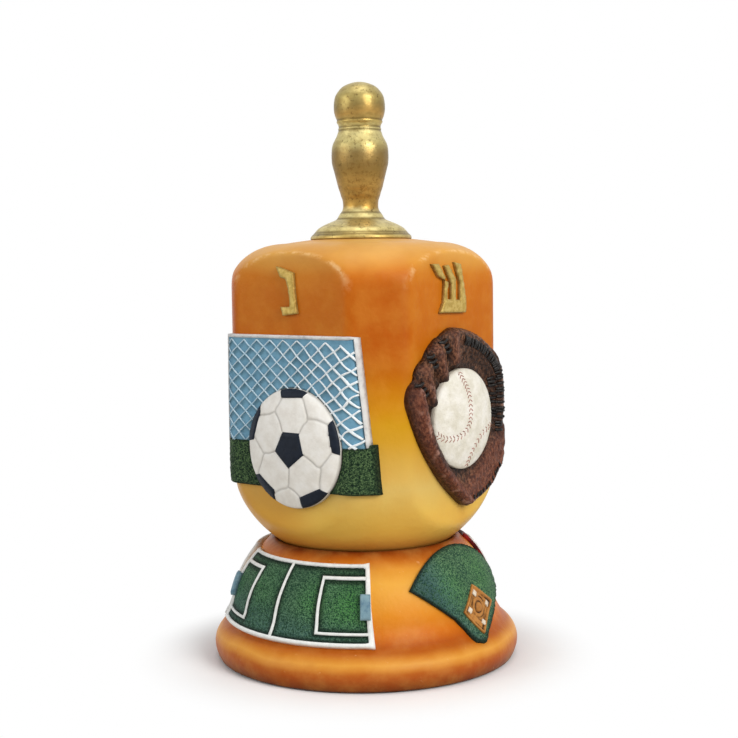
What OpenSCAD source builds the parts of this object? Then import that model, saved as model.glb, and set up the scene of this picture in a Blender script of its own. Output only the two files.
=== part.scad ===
// Sports dreidel on a round bell stand. The turned and faceted body stands in a
// dish, lifts out, and spins on a point. Raised sports figures lie on its four
// faces and on the flank of the stand. Origin: centre of the underside, +Z up.
// Faces of the body: 0 looks to -Y, 1 to +X, 2 to +Y and 3 to -X.

/* [Stand] */
// Height of the resin stand, underside to lip
stand_h = 29.6; // [24:0.2:40]
// Radius of the bead round the foot
bead_r = 38.2; // [34:0.2:48]
// Radius of the lip that carries the dreidel
lip_r = 22.7; // [18:0.1:26]
// Thickness of the felt pad
pad_t = 1.0; // [0.6:0.1:2]
// Depth of the pocket for the felt pad
pad_pocket = 0.6; // [0.2:0.1:1.2]
// Radius of the well under the point
well_r = 11; // [9:0.5:14]
// Thickness of the resin below the well
well_floor = 9; // [4:0.5:12]

/* [Dreidel body] */
// Distance across two flat faces
body_across = 55.6; // [50:0.2:60]
// Distance across two corner flats
corner_across = 65.0; // [62:0.2:68]
// Radius of the soft edges between the flats
corner_round = 4; // [2:0.5:6]
// Height of the straight part of the wall
wall_h = 43; // [38:0.5:56]
// Rise of the rounded shoulder
shoulder_rise = 11; // [8:0.5:16]
// Drop of the rounded underside
belly_drop = 26.1; // [22:0.1:30]

/* [Handle and point] */
// Height of the turned handle
handle_h = 38.8; // [30:0.2:50]
// Radius of the flange at the foot of the handle
flange_r = 12.6; // [10:0.1:16]
// Radius of the stud that joins handle and body
stud_r = 2; // [1.5:0.1:3]
// Length of the stud
stud_len = 24; // [16:1:32]
// Radius of the metal point where it meets the resin
point_r = 3.2; // [2.6:0.1:4.5]
// Length of the metal point below the resin
point_len = 3.4; // [2:0.2:6]
// Radius of the pin that the body turns on
pin_r = 1.5; // [1:0.1:2]
// Length of the pin inside the body
pin_len = 10; // [6:0.5:14]

/* [Raised figures] */
// Thickness of turf and panels on the body
panel_t = 1.2; // [0.8:0.1:2]
// Thickness of the goal frames on the body
frame_t = 1.7; // [1.2:0.1:2.6]
// Thickness of turf and floors on the stand
turf_t = 1.0; // [0.6:0.1:1.6]
// Height of painted lines above the turf
line_t = 0.35; // [0.2:0.05:0.6]
// Width of the border lines on the stand
border_w = 1.25; // [0.8:0.05:2]
// Width of the inner lines on the stand
line_w = 0.9; // [0.6:0.05:1.4]
// Radius of the soccer ball
soccer_r = 14.3; // [11:0.1:15.5]
// Height of the soccer ball above its face
soccer_t = 4; // [3:0.1:6]
// Radius of the baseball
baseball_r = 12.2; // [9:0.1:13]
// Height of the baseball above the mitt
baseball_t = 3.6; // [2.5:0.1:5]
// Thickness of the palm of the mitt
palm_t = 1.6; // [1:0.1:2.4]
// Half length of the football
football_l = 21; // [16:0.5:23]
// Half width of the football
football_r = 10.8; // [8:0.1:12]
// Height of the football above its face
football_t = 4; // [3:0.1:6]
// Radius of the basketball
basketball_r = 12.5; // [9:0.1:14]
// Height of the basketball above its face
basketball_t = 4; // [3:0.1:6]

/* [Clearances] */
// Gap between the body and the dish, measured upright
seat_gap = 0.4; // [0.3:0.05:0.6]
// Gap round the pin, each side
pin_gap = 0.05; // [0.03:0.01:0.09]
// Gap between the point's head and the resin, and above the pin
end_gap = 0.3; // [0.2:0.05:0.5]
// Gap round a piece that is let into another
inset_gap = 0.05; // [0.02:0.01:0.1]

/* [Hidden] */

// Segments of a full turn, and of one curved stretch of an outline
$fn = 28;
curve_n = 4;
corner_n = 2;
// Overrun of every cut
cut = 1;

// Heights and radii of the stand
stand_z = pad_t - pad_pocket;
lip_z = stand_z + stand_h;
lip_w = 1.1;
lip_fall = 0.3;
foot_in = 1.0;
pad_in = 2.2;
waist_in = 5.6;
crease_in = 3.0;
foot_r = bead_r - foot_in;
pad_r = foot_r - pad_in;
bell_low_share = 0.475;
bell_foot_share = 0.305;
bell_swell_share = 0.054;
cove_share = 0.01;
bead_swell_share = 0.068;
waist_pt = [bead_r - waist_in, lip_z * bell_low_share];
crease_pt = [bead_r - crease_in, lip_z * bell_foot_share];
foot_pt = [foot_r, stand_z];

// Heights and radii of the body
face_d = body_across / 2;
corner_d = corner_across / 2;
face_c = face_d - corner_round;
side_c = sqrt(2) * (corner_d - corner_round) - face_c;
face_u = sqrt(2) * corner_d - face_d;
shoulder_r = norm([face_c, side_c]) + corner_round + inset_gap;
belly_z = lip_z + seat_gap + belly_drop * sqrt(1 - pow(lip_r / shoulder_r, 2));
shoulder_z = belly_z + wall_h;
crown_r_share = 0.59;
crown_r = shoulder_r * crown_r_share;
crown_rise = 1.0;
crown_foot_share = 0.94;
crown_z = shoulder_z + shoulder_rise + crown_rise;
seat_r = flange_r - cut;
nub_r = 8.5;
nub_top_z = belly_z - belly_drop * sqrt(1 - pow(nub_r / shoulder_r, 2));
nub_len = 7.4;
point_z = nub_top_z - nub_len;
pin_top_z = point_z + pin_len;
well_z = stand_z + well_floor;

// Points of a soft bow from a up to b, h proud on the left of the way
function bow(a, b, h, n = curve_n) =
    let (d = b - a, q = (a + b) / 2 + [-d[1], d[0]] / norm(d) * 2 * h)
    [for (i = [0:n - 1]) let (t = i / n) (1 - t) * (1 - t) * a + 2 * t * (1 - t) * q + t * t * b];

// Points of an elliptic arc about c, from angle a0 to a1
function arc(c, rx, ry, a0, a1, n = curve_n) =
    [for (i = [0:n]) let (a = a0 + (a1 - a0) * i / n) c + [rx * cos(a), ry * sin(a)]];

// Smooth open curve through the points p
function spline(p, n = 5) = concat([for (i = [0:len(p) - 2]) for (j = [0:n - 1])
    let (t = j / n, a = p[max(i - 1, 0)], b = p[i], c = p[i + 1], d = p[min(i + 2, len(p) - 1)])
    ((2 * b) + (c - a) * t + (2 * a - 5 * b + 4 * c - d) * t * t
    + (3 * b - a - 3 * c + d) * t * t * t) / 2], [p[len(p) - 1]]);

// Smooth closed curve through the points p
function ring(p, n = 5) = let (m = len(p)) [for (i = [0:m - 1]) for (j = [0:n - 1])
    let (t = j / n, a = p[(i + m - 1) % m], b = p[i], c = p[(i + 1) % m], d = p[(i + 2) % m])
    ((2 * b) + (c - a) * t + (2 * a - 5 * b + 4 * c - d) * t * t
    + (3 * b - a - 3 * c + d) * t * t * t) / 2];

// The path p moved sideways by t, to the right of the way
function proud(p, t) = [for (i = [0:len(p) - 1])
    let (d = p[min(i + 1, len(p) - 1)] - p[max(i - 1, 0)]) p[i] + [d[1], -d[0]] / norm(d) * t];

function reversed(p) = [for (i = [len(p) - 1:-1:0]) p[i]];

function turned(p, a) = [p[0] * cos(a) - p[1] * sin(a), p[0] * sin(a) + p[1] * cos(a)];

// Outline of the body's prism, moved out by t
function prism_outline(t) = [for (k = [0:3]) for (j = [0:1]) for (i = [0:corner_n])
    turned((j == 0 ? [face_c, side_c] : [side_c, face_c])
        + (corner_round + t) * [cos(45 * (j + i / corner_n)), sin(45 * (j + i / corner_n))], 90 * k)];

// Flank of the stand from the foot up to the lip
bell_path = concat(
    bow(foot_pt, crease_pt, -stand_h * bead_swell_share),
    bow(crease_pt, waist_pt, stand_h * cove_share, 2),
    bow(waist_pt, [lip_r + lip_w, lip_z - lip_fall], -stand_h * bell_swell_share),
    bow([lip_r + lip_w, lip_z - lip_fall], [lip_r, lip_z], -lip_fall / 2, 2),
    [[lip_r, lip_z]]);

// Height of the body's underside at radius r
function belly(r) = belly_z - belly_drop * sqrt(1 - pow(r / shoulder_r, 2));

// Dish of the stand from the lip in to the well
dish_path = [for (i = [0:curve_n]) let (r = lip_r + (well_r - lip_r) * i / curve_n) [r, belly(r) - seat_gap]];

module stand_base() {
    color("darkorange") difference() {
        rotate_extrude() polygon(concat([[0, stand_z]], bell_path, dish_path, [[well_r, well_z], [0, well_z]]));
        translate([0, 0, stand_z - cut]) cylinder(r = pad_r + inset_gap, h = pad_pocket + cut);
    }
}

module felt_pad() {
    color("dimgray") cylinder(r = pad_r, h = pad_t);
}

// Skin on the stand's flank between depths t0 and t1, heights z0 and z1, angles a0 and a1
module bell_band(t0, t1, z0, z1, a0, a1) {
    rotate([0, 0, a0]) rotate_extrude(angle = a1 - a0) intersection() {
        polygon(concat(proud(bell_path, t0), reversed(proud(bell_path, t1))));
        translate([0, z0]) square([2 * bead_r, z1 - z0]);
    }
}

// Part of the skin that a flat outline, seen from outside at angle a, covers
patch_half_a = 80;
module bell_patch(t0, t1, a) {
    intersection() {
        bell_band(t0, t1, stand_z, lip_z, a - patch_half_a, a + patch_half_a);
        rotate([90, 0, 90 + a]) linear_extrude(2 * bead_r) children();
    }
}

// Angle that a width takes on the flank, at the flank's middle radius
flank_mid_share = 0.83;
function span(w) = w / (bead_r * flank_mid_share) * 180 / PI;

// Soccer pitch and gridiron share one frame on the flank
field_low_share = 0.32;
field_high_share = 0.917;
field_z0 = lip_z * field_low_share;
field_z1 = lip_z * field_high_share;
field_zm = (field_z0 + field_z1) / 2;
pitch_a = -91.2;
gridiron_a = 180;
field_gap_a = 5.2;
field_half = (pitch_a + 360 - gridiron_a - field_gap_a) / 2;
in_z0 = field_z0 + border_w;
in_z1 = field_z1 - border_w;
in_half = field_half - span(border_w);
line_top = turf_t + line_t;
box_half_share = 0.66;
box_deep = 11;
box_len = span(box_deep);
box_z0 = field_zm - (field_z1 - field_z0) / 2 * box_half_share;
box_z1 = field_zm + (field_z1 - field_z0) / 2 * box_half_share;

module field_ground(a) {
    bell_band(0, turf_t, in_z0, in_z1, a - in_half, a + in_half);
}

module field_border(a) {
    difference() {
        bell_band(0, line_top, field_z0, field_z1, a - field_half, a + field_half);
        bell_band(-cut, line_top + cut, in_z0, in_z1, a - in_half, a + in_half);
    }
}

// Upright line on the flank, centred at angle a
module mark_up(a, z0, z1) {
    bell_band(turf_t, line_top, z0, z1, a - span(line_w) / 2, a + span(line_w) / 2);
}

// Level line on the flank, from angle a0 to a1
module mark_level(z, a0, a1) {
    bell_band(turf_t, line_top, z, z + line_w, a0, a1);
}

module end_box(a, side) {
    a0 = side > 0 ? a + in_half - box_len : a - in_half;
    mark_level(box_z0, a0, a0 + box_len);
    mark_level(box_z1 - line_w, a0, a0 + box_len);
    mark_up(side > 0 ? a0 + span(line_w) / 2 : a0 + box_len - span(line_w) / 2, box_z0, box_z1);
}

module pitch_turf() {
    color("darkgreen") field_ground(pitch_a);
}

module pitch_lines() {
    color("white") union() {
        field_border(pitch_a);
        mark_up(pitch_a, in_z0, in_z1);
        end_box(pitch_a, 1);
        end_box(pitch_a, -1);
    }
}

// Small goals at the two ends of the pitch
goal_half = 2.6;
goal_deep = 2.4;
goal_rise = 1.2;
module pitch_goals() {
    color("lightsteelblue") difference() {
        for (s = [-1, 1])
            let (m = pitch_a + s * (field_half - span(goal_deep) / 2))
            bell_band(turf_t, line_top + goal_rise, field_zm - goal_half, field_zm + goal_half,
                m - span(goal_deep) / 2, m + span(goal_deep) / 2);
        bell_band(-cut, line_top, field_z0 - cut, field_z1 + cut, pitch_a + in_half, pitch_a + field_half + cut);
        bell_band(-cut, line_top, field_z0 - cut, field_z1 + cut, pitch_a - field_half - cut, pitch_a - in_half);
    }
}

// Ballpark: outfield fan with its home corner low, seen from outside
park_a = -2;
park_r = 23.1;
park_mid = [1.8, 6.3];
park_home = [[-1.6, 8.7], [0.9, 8.2]];
park_left = [-15.3, 21.85];
park_right = [20, 20.5];
park_bend = [-5.6, 13.6];
infield_mid = [3.2, 15.1];
infield_wide = 6.4;
infield_high = 5.6;
bag_share = 0.66;
bag_w = 1.3;
mound_r = 1.5;
dirt_t = 0.3;

module ballpark_turf() {
    a0 = atan2(park_right[1] - park_mid[1], park_right[0] - park_mid[0]);
    a1 = atan2(park_left[1] - park_mid[1], park_left[0] - park_mid[0]);
    color("seagreen") bell_patch(0, turf_t, park_a)
        polygon(concat(park_home, arc(park_mid, park_r, park_r, a0, a1, 12), [park_bend]));
}

function diamond(s) = [for (a = [0:90:270]) infield_mid + s * [infield_wide * cos(a), infield_high * sin(a)]];

module infield_diamond() {
    color("peru") union() {
        bell_patch(turf_t, turf_t + dirt_t, park_a) polygon(diamond(1));
        bell_patch(turf_t, turf_t + 2 * dirt_t, park_a) translate(infield_mid) circle(r = mound_r, $fn = 32);
    }
}

module base_bags() {
    color("white") bell_patch(turf_t + dirt_t, turf_t + dirt_t + line_t, park_a)
        for (p = diamond(bag_share)) translate(p) rotate(45) square(bag_w, center = true);
}

// Basketball court: a red floor with its lines and keys set in from the edge
park_tip_share = 0.775;
court_high_share = 0.965;
court_start = park_a + asin(park_right[0] / (bead_r * park_tip_share)) + field_gap_a / 3;
court_end = gridiron_a - field_half - field_gap_a;
court_a = (court_start + court_end) / 2;
court_half = (court_end - court_start) / 2;
court_z0 = field_z0 + border_w;
court_z1 = lip_z * court_high_share;
court_zm = (court_z0 + court_z1) / 2;
court_rim = 1.5;
key_half = 3;
key_deep = 7.6;
key_len = span(key_deep);

module court_floor() {
    color("brown") bell_band(0, turf_t, court_z0, court_z1, court_a - court_half, court_a + court_half);
}

// Key of the court: two level lines from angle a0 to a1 and an upright between them at angle a
module key_lines(a0, a1, a) {
    mark_level(court_zm - key_half, a0, a1);
    mark_level(court_zm + key_half - line_w, a0, a1);
    mark_up(a, court_zm - key_half + line_w + inset_gap, court_zm + key_half - line_w - inset_gap);
}

module court_lines() {
    a0 = court_a - court_half + span(court_rim);
    a1 = court_a + court_half - span(court_rim);
    z0 = court_z0 + court_rim;
    z1 = court_z1 - court_rim;
    color("ivory") union() {
        mark_level(z0, a0, a1);
        mark_level(z1 - line_w, a0, a1);
        for (a = [a0 + span(line_w) / 2, court_a, a1 - span(line_w) / 2])
            mark_up(a, z0 + line_w + inset_gap, z1 - line_w - inset_gap);
        key_lines(a0 + span(line_w + inset_gap), a0 + key_len, a0 + key_len - span(line_w) / 2);
        key_lines(a1 - key_len, a1 - span(line_w + inset_gap), a1 - key_len + span(line_w) / 2);
    }
}

// Gridiron with a yard line every tenth of its length
yards_n = 10;
module gridiron_turf() {
    color("forestgreen") field_ground(gridiron_a);
}

module yard_lines() {
    color("white") union() {
        field_border(gridiron_a);
        for (i = [1:yards_n - 1])
            mark_up(gridiron_a - in_half + 2 * in_half * i / yards_n, in_z0 + inset_gap, in_z1 - inset_gap);
    }
}

// Metal point: a pin that the body turns on, with a rounded head below
module tip_pin() {
    head_z = point_z - end_gap;
    nose_r = point_r / 4;
    color("silver") rotate_extrude($fn = 16) polygon(concat(
        [[0, pin_top_z], [pin_r, pin_top_z], [pin_r, head_z], [point_r, head_z]],
        bow([point_r, head_z - point_len / 5], [nose_r, head_z - point_len + nose_r], point_len / 12, 4),
        arc([0, head_z - point_len + nose_r], nose_r, nose_r, 0, -90, 3)));
}

body_path = concat(
    arc([0, belly_z], shoulder_r, belly_drop, -acos(nub_r / shoulder_r), 0, 9),
    arc([crown_r, shoulder_z], shoulder_r - crown_r, shoulder_rise, 0, 90, 6),
    bow([crown_r - cut / 2, crown_z - crown_rise * crown_foot_share], [seat_r, crown_z], -crown_rise / 20, 4),
    [[seat_r, crown_z], [0, crown_z]]);

module dreidel_body() {
    color("orange") difference() {
        intersection() {
            translate([0, 0, point_z - cut]) linear_extrude(crown_z - point_z + 2 * cut) polygon(prism_outline(0));
            rotate_extrude() polygon(concat([[0, point_z], [point_r, point_z]],
                bow([point_r, point_z + cut / 2], [nub_r, nub_top_z], -nub_len / 8, 6), body_path));
        }
        translate([0, 0, point_z - cut]) cylinder(r = pin_r + pin_gap, h = pin_len + end_gap + cut);
        translate([0, 0, crown_z - stud_len / 2 - end_gap]) cylinder(r = stud_r + inset_gap, h = stud_len);
    }
}

// Handle outline as shares of the flange radius and of the handle height
handle_shares = [[1, 0], [1, 0.016], [0.955, 0.03], [0.9, 0.047], [0.707, 0.101], [0.52, 0.122],
    [0.431, 0.134], [0.437, 0.15], [0.369, 0.172], [0.385, 0.182], [0.346, 0.22], [0.357, 0.255],
    [0.435, 0.331], [0.551, 0.485], [0.562, 0.535], [0.532, 0.61], [0.418, 0.69], [0.416, 0.706],
    [0.442, 0.717], [0.437, 0.731], [0.493, 0.8], [0.504, 0.85], [0.489, 0.895], [0.447, 0.932],
    [0.353, 0.966], [0.187, 0.992], [0, 1]];
handle_z = crown_z;

module handle() {
    color("darkgoldenrod") difference() {
        rotate_extrude($fn = 24) polygon(concat([[0, handle_z]],
            [for (s = handle_shares) [s[0] * flange_r, handle_z + s[1] * handle_h]]));
        translate([0, 0, handle_z - cut]) cylinder(r = stud_r + inset_gap, h = stud_len / 2 + end_gap + cut);
    }
}

module handle_stud() {
    color("gray") translate([0, 0, handle_z - stud_len / 2]) cylinder(r = stud_r, h = stud_len, $fn = 32);
}

// Turns a drawing of face k, u to the right and z up, onto that face
module on_face(k) {
    rotate([0, 0, 90 * k]) rotate([90, 0, 0]) children();
}

// Skin of the body's prism between depths t0 and t1, under a flat outline seen on face k
module relief(k, t0, t1) {
    intersection() {
        linear_extrude(crown_z) difference() {
            polygon(prism_outline(t1));
            polygon(prism_outline(t0));
        }
        on_face(k) linear_extrude(2 * face_d) children();
    }
}

// Soccer goal, drawn as seen on its face
goal_z0 = 56;
goal_z1 = 81.7;
goal_top_u = 20.3;
goal_low_u = 21.9;
post_w = 0.9;
bar_w = 1.2;
turf_z0 = 45.2;
turf_u = 23.7;
turf_low_u = 24.3;
turf_step = 0.8;
soccer_mid = [2.2, 55.1];
net_t = 0.35;
net_w = 0.42;
net_n = 9;
net_step = 4.8;
net_lean_a = 40;

module goal_field(inset) {
    polygon([[-goal_low_u + inset, goal_z0], [goal_low_u - inset, goal_z0],
        [goal_top_u - inset, goal_z1 - (inset > 0 ? bar_w : 0)],
        [-goal_top_u + inset, goal_z1 - (inset > 0 ? bar_w : 0)]]);
}

module soccer_spot(extra) {
    translate(soccer_mid) circle(r = soccer_r + extra);
}

module goal_panel() {
    color("steelblue") relief(0, 0, panel_t) difference() {
        goal_field(post_w);
        soccer_spot(inset_gap);
    }
}

module goal_frame() {
    color("white") relief(0, 0, frame_t) difference() {
        goal_field(0);
        goal_field(post_w);
        soccer_spot(inset_gap);
    }
}

// Net: slanting strands both ways, ended by the frame
module goal_net() {
    color("whitesmoke") relief(0, panel_t, panel_t + net_t) intersection() {
        difference() {
            goal_field(post_w);
            soccer_spot(inset_gap);
        }
        union() for (s = [-1, 1]) for (i = [-net_n:net_n])
            translate([i * net_step, goal_z1 - bar_w]) rotate(s * net_lean_a)
                square([4 * goal_low_u, net_w], center = true);
    }
}

module turf_strip() {
    color("darkgreen") relief(0, 0, panel_t) difference() {
        union() {
            polygon([[-turf_low_u, turf_z0], [turf_low_u, turf_z0], [turf_u, goal_z0], [-turf_u, goal_z0]]);
            for (s = [-1, 1]) translate([s * (turf_u + goal_low_u) / 2, goal_z0])
                square([turf_u - goal_low_u, 2 * turf_step], center = true);
        }
        soccer_spot(inset_gap);
    }
}

// Flattened ball of radius r that stands t off the plane d of its face, with a low upright edge
edge_share = 0.25;
module dome(k, mid, r, t, d = face_d) {
    on_face(k) translate([mid[0], mid[1], d]) rotate_extrude() polygon(concat(
        [[0, 0], [r, 0]], arc([0, t * edge_share], r, t * (1 - edge_share), 0, 90, 4)));
}

module soccer_ball() {
    color("white") dome(0, soccer_mid, soccer_r, soccer_t);
}

// Dark patches: one in the middle, five on the rim, each given by its angle and inner share
patch_r = 4.5;
patch_t = 0.3;
patch_mid = [0.2, 0];
patch_turn_a = -92;
rim_patches = [[90, 0.82], [160, 0.86], [229, 0.87], [300, 0.81], [16, 0.83]];
rim_half_shares = [0.23, 0.32];
rim_over_share = 1.1;
module ball_patches() {
    color("midnightblue") difference() {
        intersection() {
            dome(0, soccer_mid, soccer_r + patch_t, soccer_t + patch_t);
            on_face(0) linear_extrude(2 * face_d) translate(soccer_mid) {
                translate(patch_mid) rotate(patch_turn_a) circle(r = patch_r, $fn = 5);
                for (p = rim_patches) rotate(p[0]) scale(soccer_r) polygon([[p[1], -rim_half_shares[0]],
                    [rim_over_share, -rim_half_shares[1]], [rim_over_share, rim_half_shares[1]],
                    [p[1], rim_half_shares[0]]]);
            }
            linear_extrude(crown_z) difference() {
                square(4 * face_d, center = true);
                polygon(prism_outline(panel_t + net_t + inset_gap));
            }
        }
        dome(0, soccer_mid, soccer_r, soccer_t);
    }
}

// Baseball mitt, drawn as seen on its face
mitt_outline = [[2, 39.7], [5.6, 40.9], [11.3, 43], [14.4, 46.1], [17.1, 49], [18, 54], [18.3, 61.6], [18.2, 68],
    [17.1, 73.4], [15, 76.5], [9.4, 80.2], [4.4, 82], [-0.5, 83], [-3.8, 83.1], [-6.7, 82.2], [-9.8, 80.9],
    [-13.2, 78.7], [-15, 76], [-17.8, 74.2], [-18.4, 71.8], [-19.8, 69.4], [-20.1, 66.6], [-19.4, 63.1],
    [-17.6, 58.6], [-13.8, 52.9], [-8.3, 46.8], [-2.5, 42.1]];
baseball_mid = [-0.4, 61.1];
// Rolls of the mitt: two ends and a radius each
fingers = [[[-18, 67.4], [-14.8, 57.6], 2.6], [[-14.8, 57.6], [-9.4, 50.2], 2.4], [[-9.4, 50.2], [-2.6, 44.2], 2.2],
    [[-15.6, 72.6], [-13.4, 64.6], 2.4], [[-11.4, 77], [-10.2, 71.2], 2.4], [[-6.4, 79.8], [-6, 75.4], 2.6]];
heel_outline = [[3.4, 41.2], [6.2, 42], [11.2, 44.4], [14.6, 47.6], [16.7, 51], [17, 55.6], [14.4, 58.2], [9, 54],
    [3, 48.6], [0.8, 47.6], [0.8, 44.2]];
heel_t = 1.2;

module mitt_palm() {
    color("saddlebrown") relief(1, 0, palm_t) polygon(ring(mitt_outline, 2));
}

// Round-ended bar from a to b on face k, its axis at depth d
module bar(k, a, b, r, d) {
    on_face(k) translate([a[0], a[1], d]) rotate([0, 0, atan2(b[1] - a[1], b[0] - a[0])]) rotate([0, 90, 0])
        rotate_extrude($fn = 16) polygon(concat(arc([0, 0], r, r, -90, 0, 3), arc([0, norm(b - a)], r, r, 0, 90, 3)));
}

// What of the children stands proud of depth t on the body
module above(t) {
    difference() {
        children();
        linear_extrude(crown_z) polygon(prism_outline(t));
    }
}

// Depth of a roll's axis, which follows the face round onto the corner flat
roll_sink = 0.3;
function bar_depth(u) = face_d + palm_t - roll_sink - max(0, abs(u) - face_u);

module mitt_fingers() {
    color("sienna") difference() {
        above(palm_t) for (f = fingers) bar(1, f[0], f[1], f[2], bar_depth(f[0][0]));
        on_face(1) translate([baseball_mid[0], baseball_mid[1], 0])
            cylinder(r = baseball_r + inset_gap, h = 2 * face_d);
    }
}

module mitt_heel() {
    color("sienna") relief(1, palm_t, palm_t + heel_t) difference() {
        polygon(ring(heel_outline, 3));
        translate(baseball_mid) circle(r = baseball_r + inset_gap);
    }
}

web_outline = [[-2.2, 75], [-2.3, 81.4], [4.2, 80.8], [9, 78.8], [13.6, 75.4], [16.2, 71.4], [17.2, 66], [17, 59.6],
    [14.4, 59.2], [13.8, 64], [11.6, 69.4], [7, 73.4]];
web_t = 0.9;
module mitt_webbing() {
    color("brown") relief(1, palm_t, palm_t + web_t) polygon(ring(web_outline, 3));
}

// Lacing: loops across the outer edge of the web
lace_t = 0.5;
lace_w = 0.7;
lace_l = 2.4;
lace_n = 17;
lace_points = [[1, 81], [5.4, 80], [10.2, 77.6], [14.2, 74.4], [16.3, 70.4], [17, 65], [16.8, 60]];
lace_path = spline(lace_points, 8);
module mitt_lacing() {
    m = len(lace_path) - 3;
    color("black") relief(1, palm_t + web_t, palm_t + web_t + lace_t) for (i = [0:lace_n - 1])
        let (j = 1 + round(i * m / (lace_n - 1)), d = lace_path[j + 1] - lace_path[j - 1])
        translate(lace_path[j]) rotate(atan2(d[1], d[0])) square([lace_w, lace_l], center = true);
}

module baseball() {
    color("ivory") dome(1, baseball_mid, baseball_r, baseball_t, face_d + palm_t);
}

// Football over its goalposts, drawn as seen on its face
football_mid = [1.6, 62.5];
football_tilt_a = 30;
uprights_u = 12.5;
uprights_z1 = 83;
crossbar_z = 64;
upright_w = 1.6;
gridiron_u = 21.3;

// Pointed oval of half length l and half width r
function oval(l, r) = concat(bow([-l, 0], [l, 0], -r, 20), bow([l, 0], [-l, 0], -r, 20));

module football_spot(extra) {
    translate(football_mid) rotate(football_tilt_a) polygon(oval(football_l + extra, football_r + extra));
}

module football_turf() {
    color("darkgreen") relief(3, 0, panel_t) difference() {
        translate([-gridiron_u, turf_z0]) square([2 * gridiron_u, goal_z0 - turf_z0]);
        football_spot(inset_gap);
    }
}

module goalpost() {
    color("gold") relief(3, 0, frame_t) difference() {
        union() {
            for (s = [-1, 1]) translate([s * uprights_u - upright_w / 2, crossbar_z])
                square([upright_w, uprights_z1 - crossbar_z]);
            translate([-uprights_u, crossbar_z]) square([2 * uprights_u, upright_w]);
            translate([-upright_w / 2, goal_z0]) square([upright_w, crossbar_z - goal_z0]);
        }
        football_spot(inset_gap);
    }
}

// Radius of the football's skin about an axis below the face, so that it meets the face in the oval
football_deep = (football_r * football_r - football_t * football_t) / (2 * football_t);
function football_skin(extra) = [for (p = bow([-football_l, 0], [football_l, 0], -football_r, 12))
    [norm([football_deep, p[1] < 0 ? -p[1] : p[1]]) + extra, p[0] + football_l]];

module football_body(extra) {
    on_face(3) translate([football_mid[0], football_mid[1], face_d - football_deep])
        rotate([0, 0, football_tilt_a]) rotate([0, 90, 0]) translate([0, 0, -football_l]) rotate_extrude()
        polygon(concat([[0, 0]], football_skin(extra),
            [[football_deep + extra, 2 * football_l], [0, 2 * football_l]]));
}

module football() {
    color("saddlebrown") difference() {
        intersection() {
            football_body(0);
            on_face(3) linear_extrude(2 * face_d) football_spot(0);
        }
        linear_extrude(crown_z) polygon(prism_outline(0));
    }
}

lace_bar_n = 6;
lace_bar_gap = 1.9;
lace_bar_w = 0.7;
lace_bar_l = 3.6;
band_w = 1.3;
band_share = 0.56;
module football_laces() {
    color("white") difference() {
        intersection() {
            football_body(patch_t);
            on_face(3) linear_extrude(2 * face_d) translate(football_mid) rotate(football_tilt_a) {
                square([(lace_bar_n + 1) * lace_bar_gap, line_w], center = true);
                for (i = [0:lace_bar_n - 1]) translate([(i - (lace_bar_n - 1) / 2) * lace_bar_gap, 0])
                    square([lace_bar_w, lace_bar_l], center = true);
                for (s = [-1, 1]) translate([s * football_l * band_share, 0])
                    square([band_w, 2 * football_r], center = true);
            }
        }
        football_body(0);
        linear_extrude(crown_z) polygon(prism_outline(panel_t + inset_gap));
    }
}

// Basketball under its board and hoop, drawn as seen on its face
basketball_mid = [-4.4, 54.6];
board_z0 = 66;
board_z1 = 83;
board_u = 13;
hoop_mid = [6, 67];
hoop_rx = 5.6;
hoop_ry = 1.9;
hoop_low_share = 0.6;
strip_h = 6.5;
hoop_t = 0.8;
hoop_net_h = 8.6;

module court_strip() {
    color("peru") relief(2, 0, panel_t) difference() {
        translate([-turf_u, turf_z0]) square([2 * turf_u, strip_h]);
        translate(basketball_mid) circle(r = basketball_r + inset_gap);
    }
}

module backboard() {
    color("white") relief(2, 0, panel_t) difference() {
        translate([-board_u, board_z0]) square([2 * board_u, board_z1 - board_z0]);
        translate(basketball_mid) circle(r = basketball_r + inset_gap);
    }
}

// Hoop: a flattened ring that stands on the board's lower edge
module hoop_rim() {
    color("orangered") relief(2, panel_t, panel_t + hoop_t) translate(hoop_mid) difference() {
        polygon(arc([0, 0], hoop_rx, hoop_ry, 0, 360, 24));
        polygon(arc([0, 0], hoop_rx - line_w, hoop_ry - line_w, 0, 360, 24));
    }
}

hoop_net_n = 4;
hoop_cord_w = 0.6;
module hoop_net() {
    lean = atan2(hoop_net_h, hoop_rx);
    color("white") relief(2, 0, panel_t) difference() {
        intersection() {
            translate(hoop_mid) polygon([[-hoop_rx, 0], [hoop_rx, 0],
                [hoop_rx * hoop_low_share, -hoop_net_h], [-hoop_rx * hoop_low_share, -hoop_net_h]]);
            union() for (s = [-1, 1]) for (i = [-hoop_net_n:hoop_net_n])
                translate(hoop_mid + [i * hoop_rx / 2, -hoop_net_h / 2]) rotate(s * lean)
                    square([4 * hoop_rx, hoop_cord_w], center = true);
        }
        translate([-board_u, board_z0]) square([2 * board_u, board_z1 - board_z0]);
        translate(basketball_mid) circle(r = basketball_r + inset_gap);
    }
}

module basketball() {
    color("chocolate") dome(2, basketball_mid, basketball_r, basketball_t);
}

stand_base();
felt_pad();
pitch_turf();
pitch_lines();
pitch_goals();
ballpark_turf();
infield_diamond();
base_bags();
court_floor();
court_lines();
gridiron_turf();
yard_lines();
tip_pin();
dreidel_body();
handle();
handle_stud();
goal_panel();
goal_net();
goal_frame();
turf_strip();
soccer_ball();
ball_patches();
mitt_palm();
mitt_fingers();
mitt_heel();
mitt_webbing();
mitt_lacing();
baseball();
football_turf();
goalpost();
football();
football_laces();
court_strip();
backboard();
hoop_rim();
hoop_net();
basketball();
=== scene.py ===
# Sports dreidel on its bell stand: painted resin, a brass handle and raised figures.
import math

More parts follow.
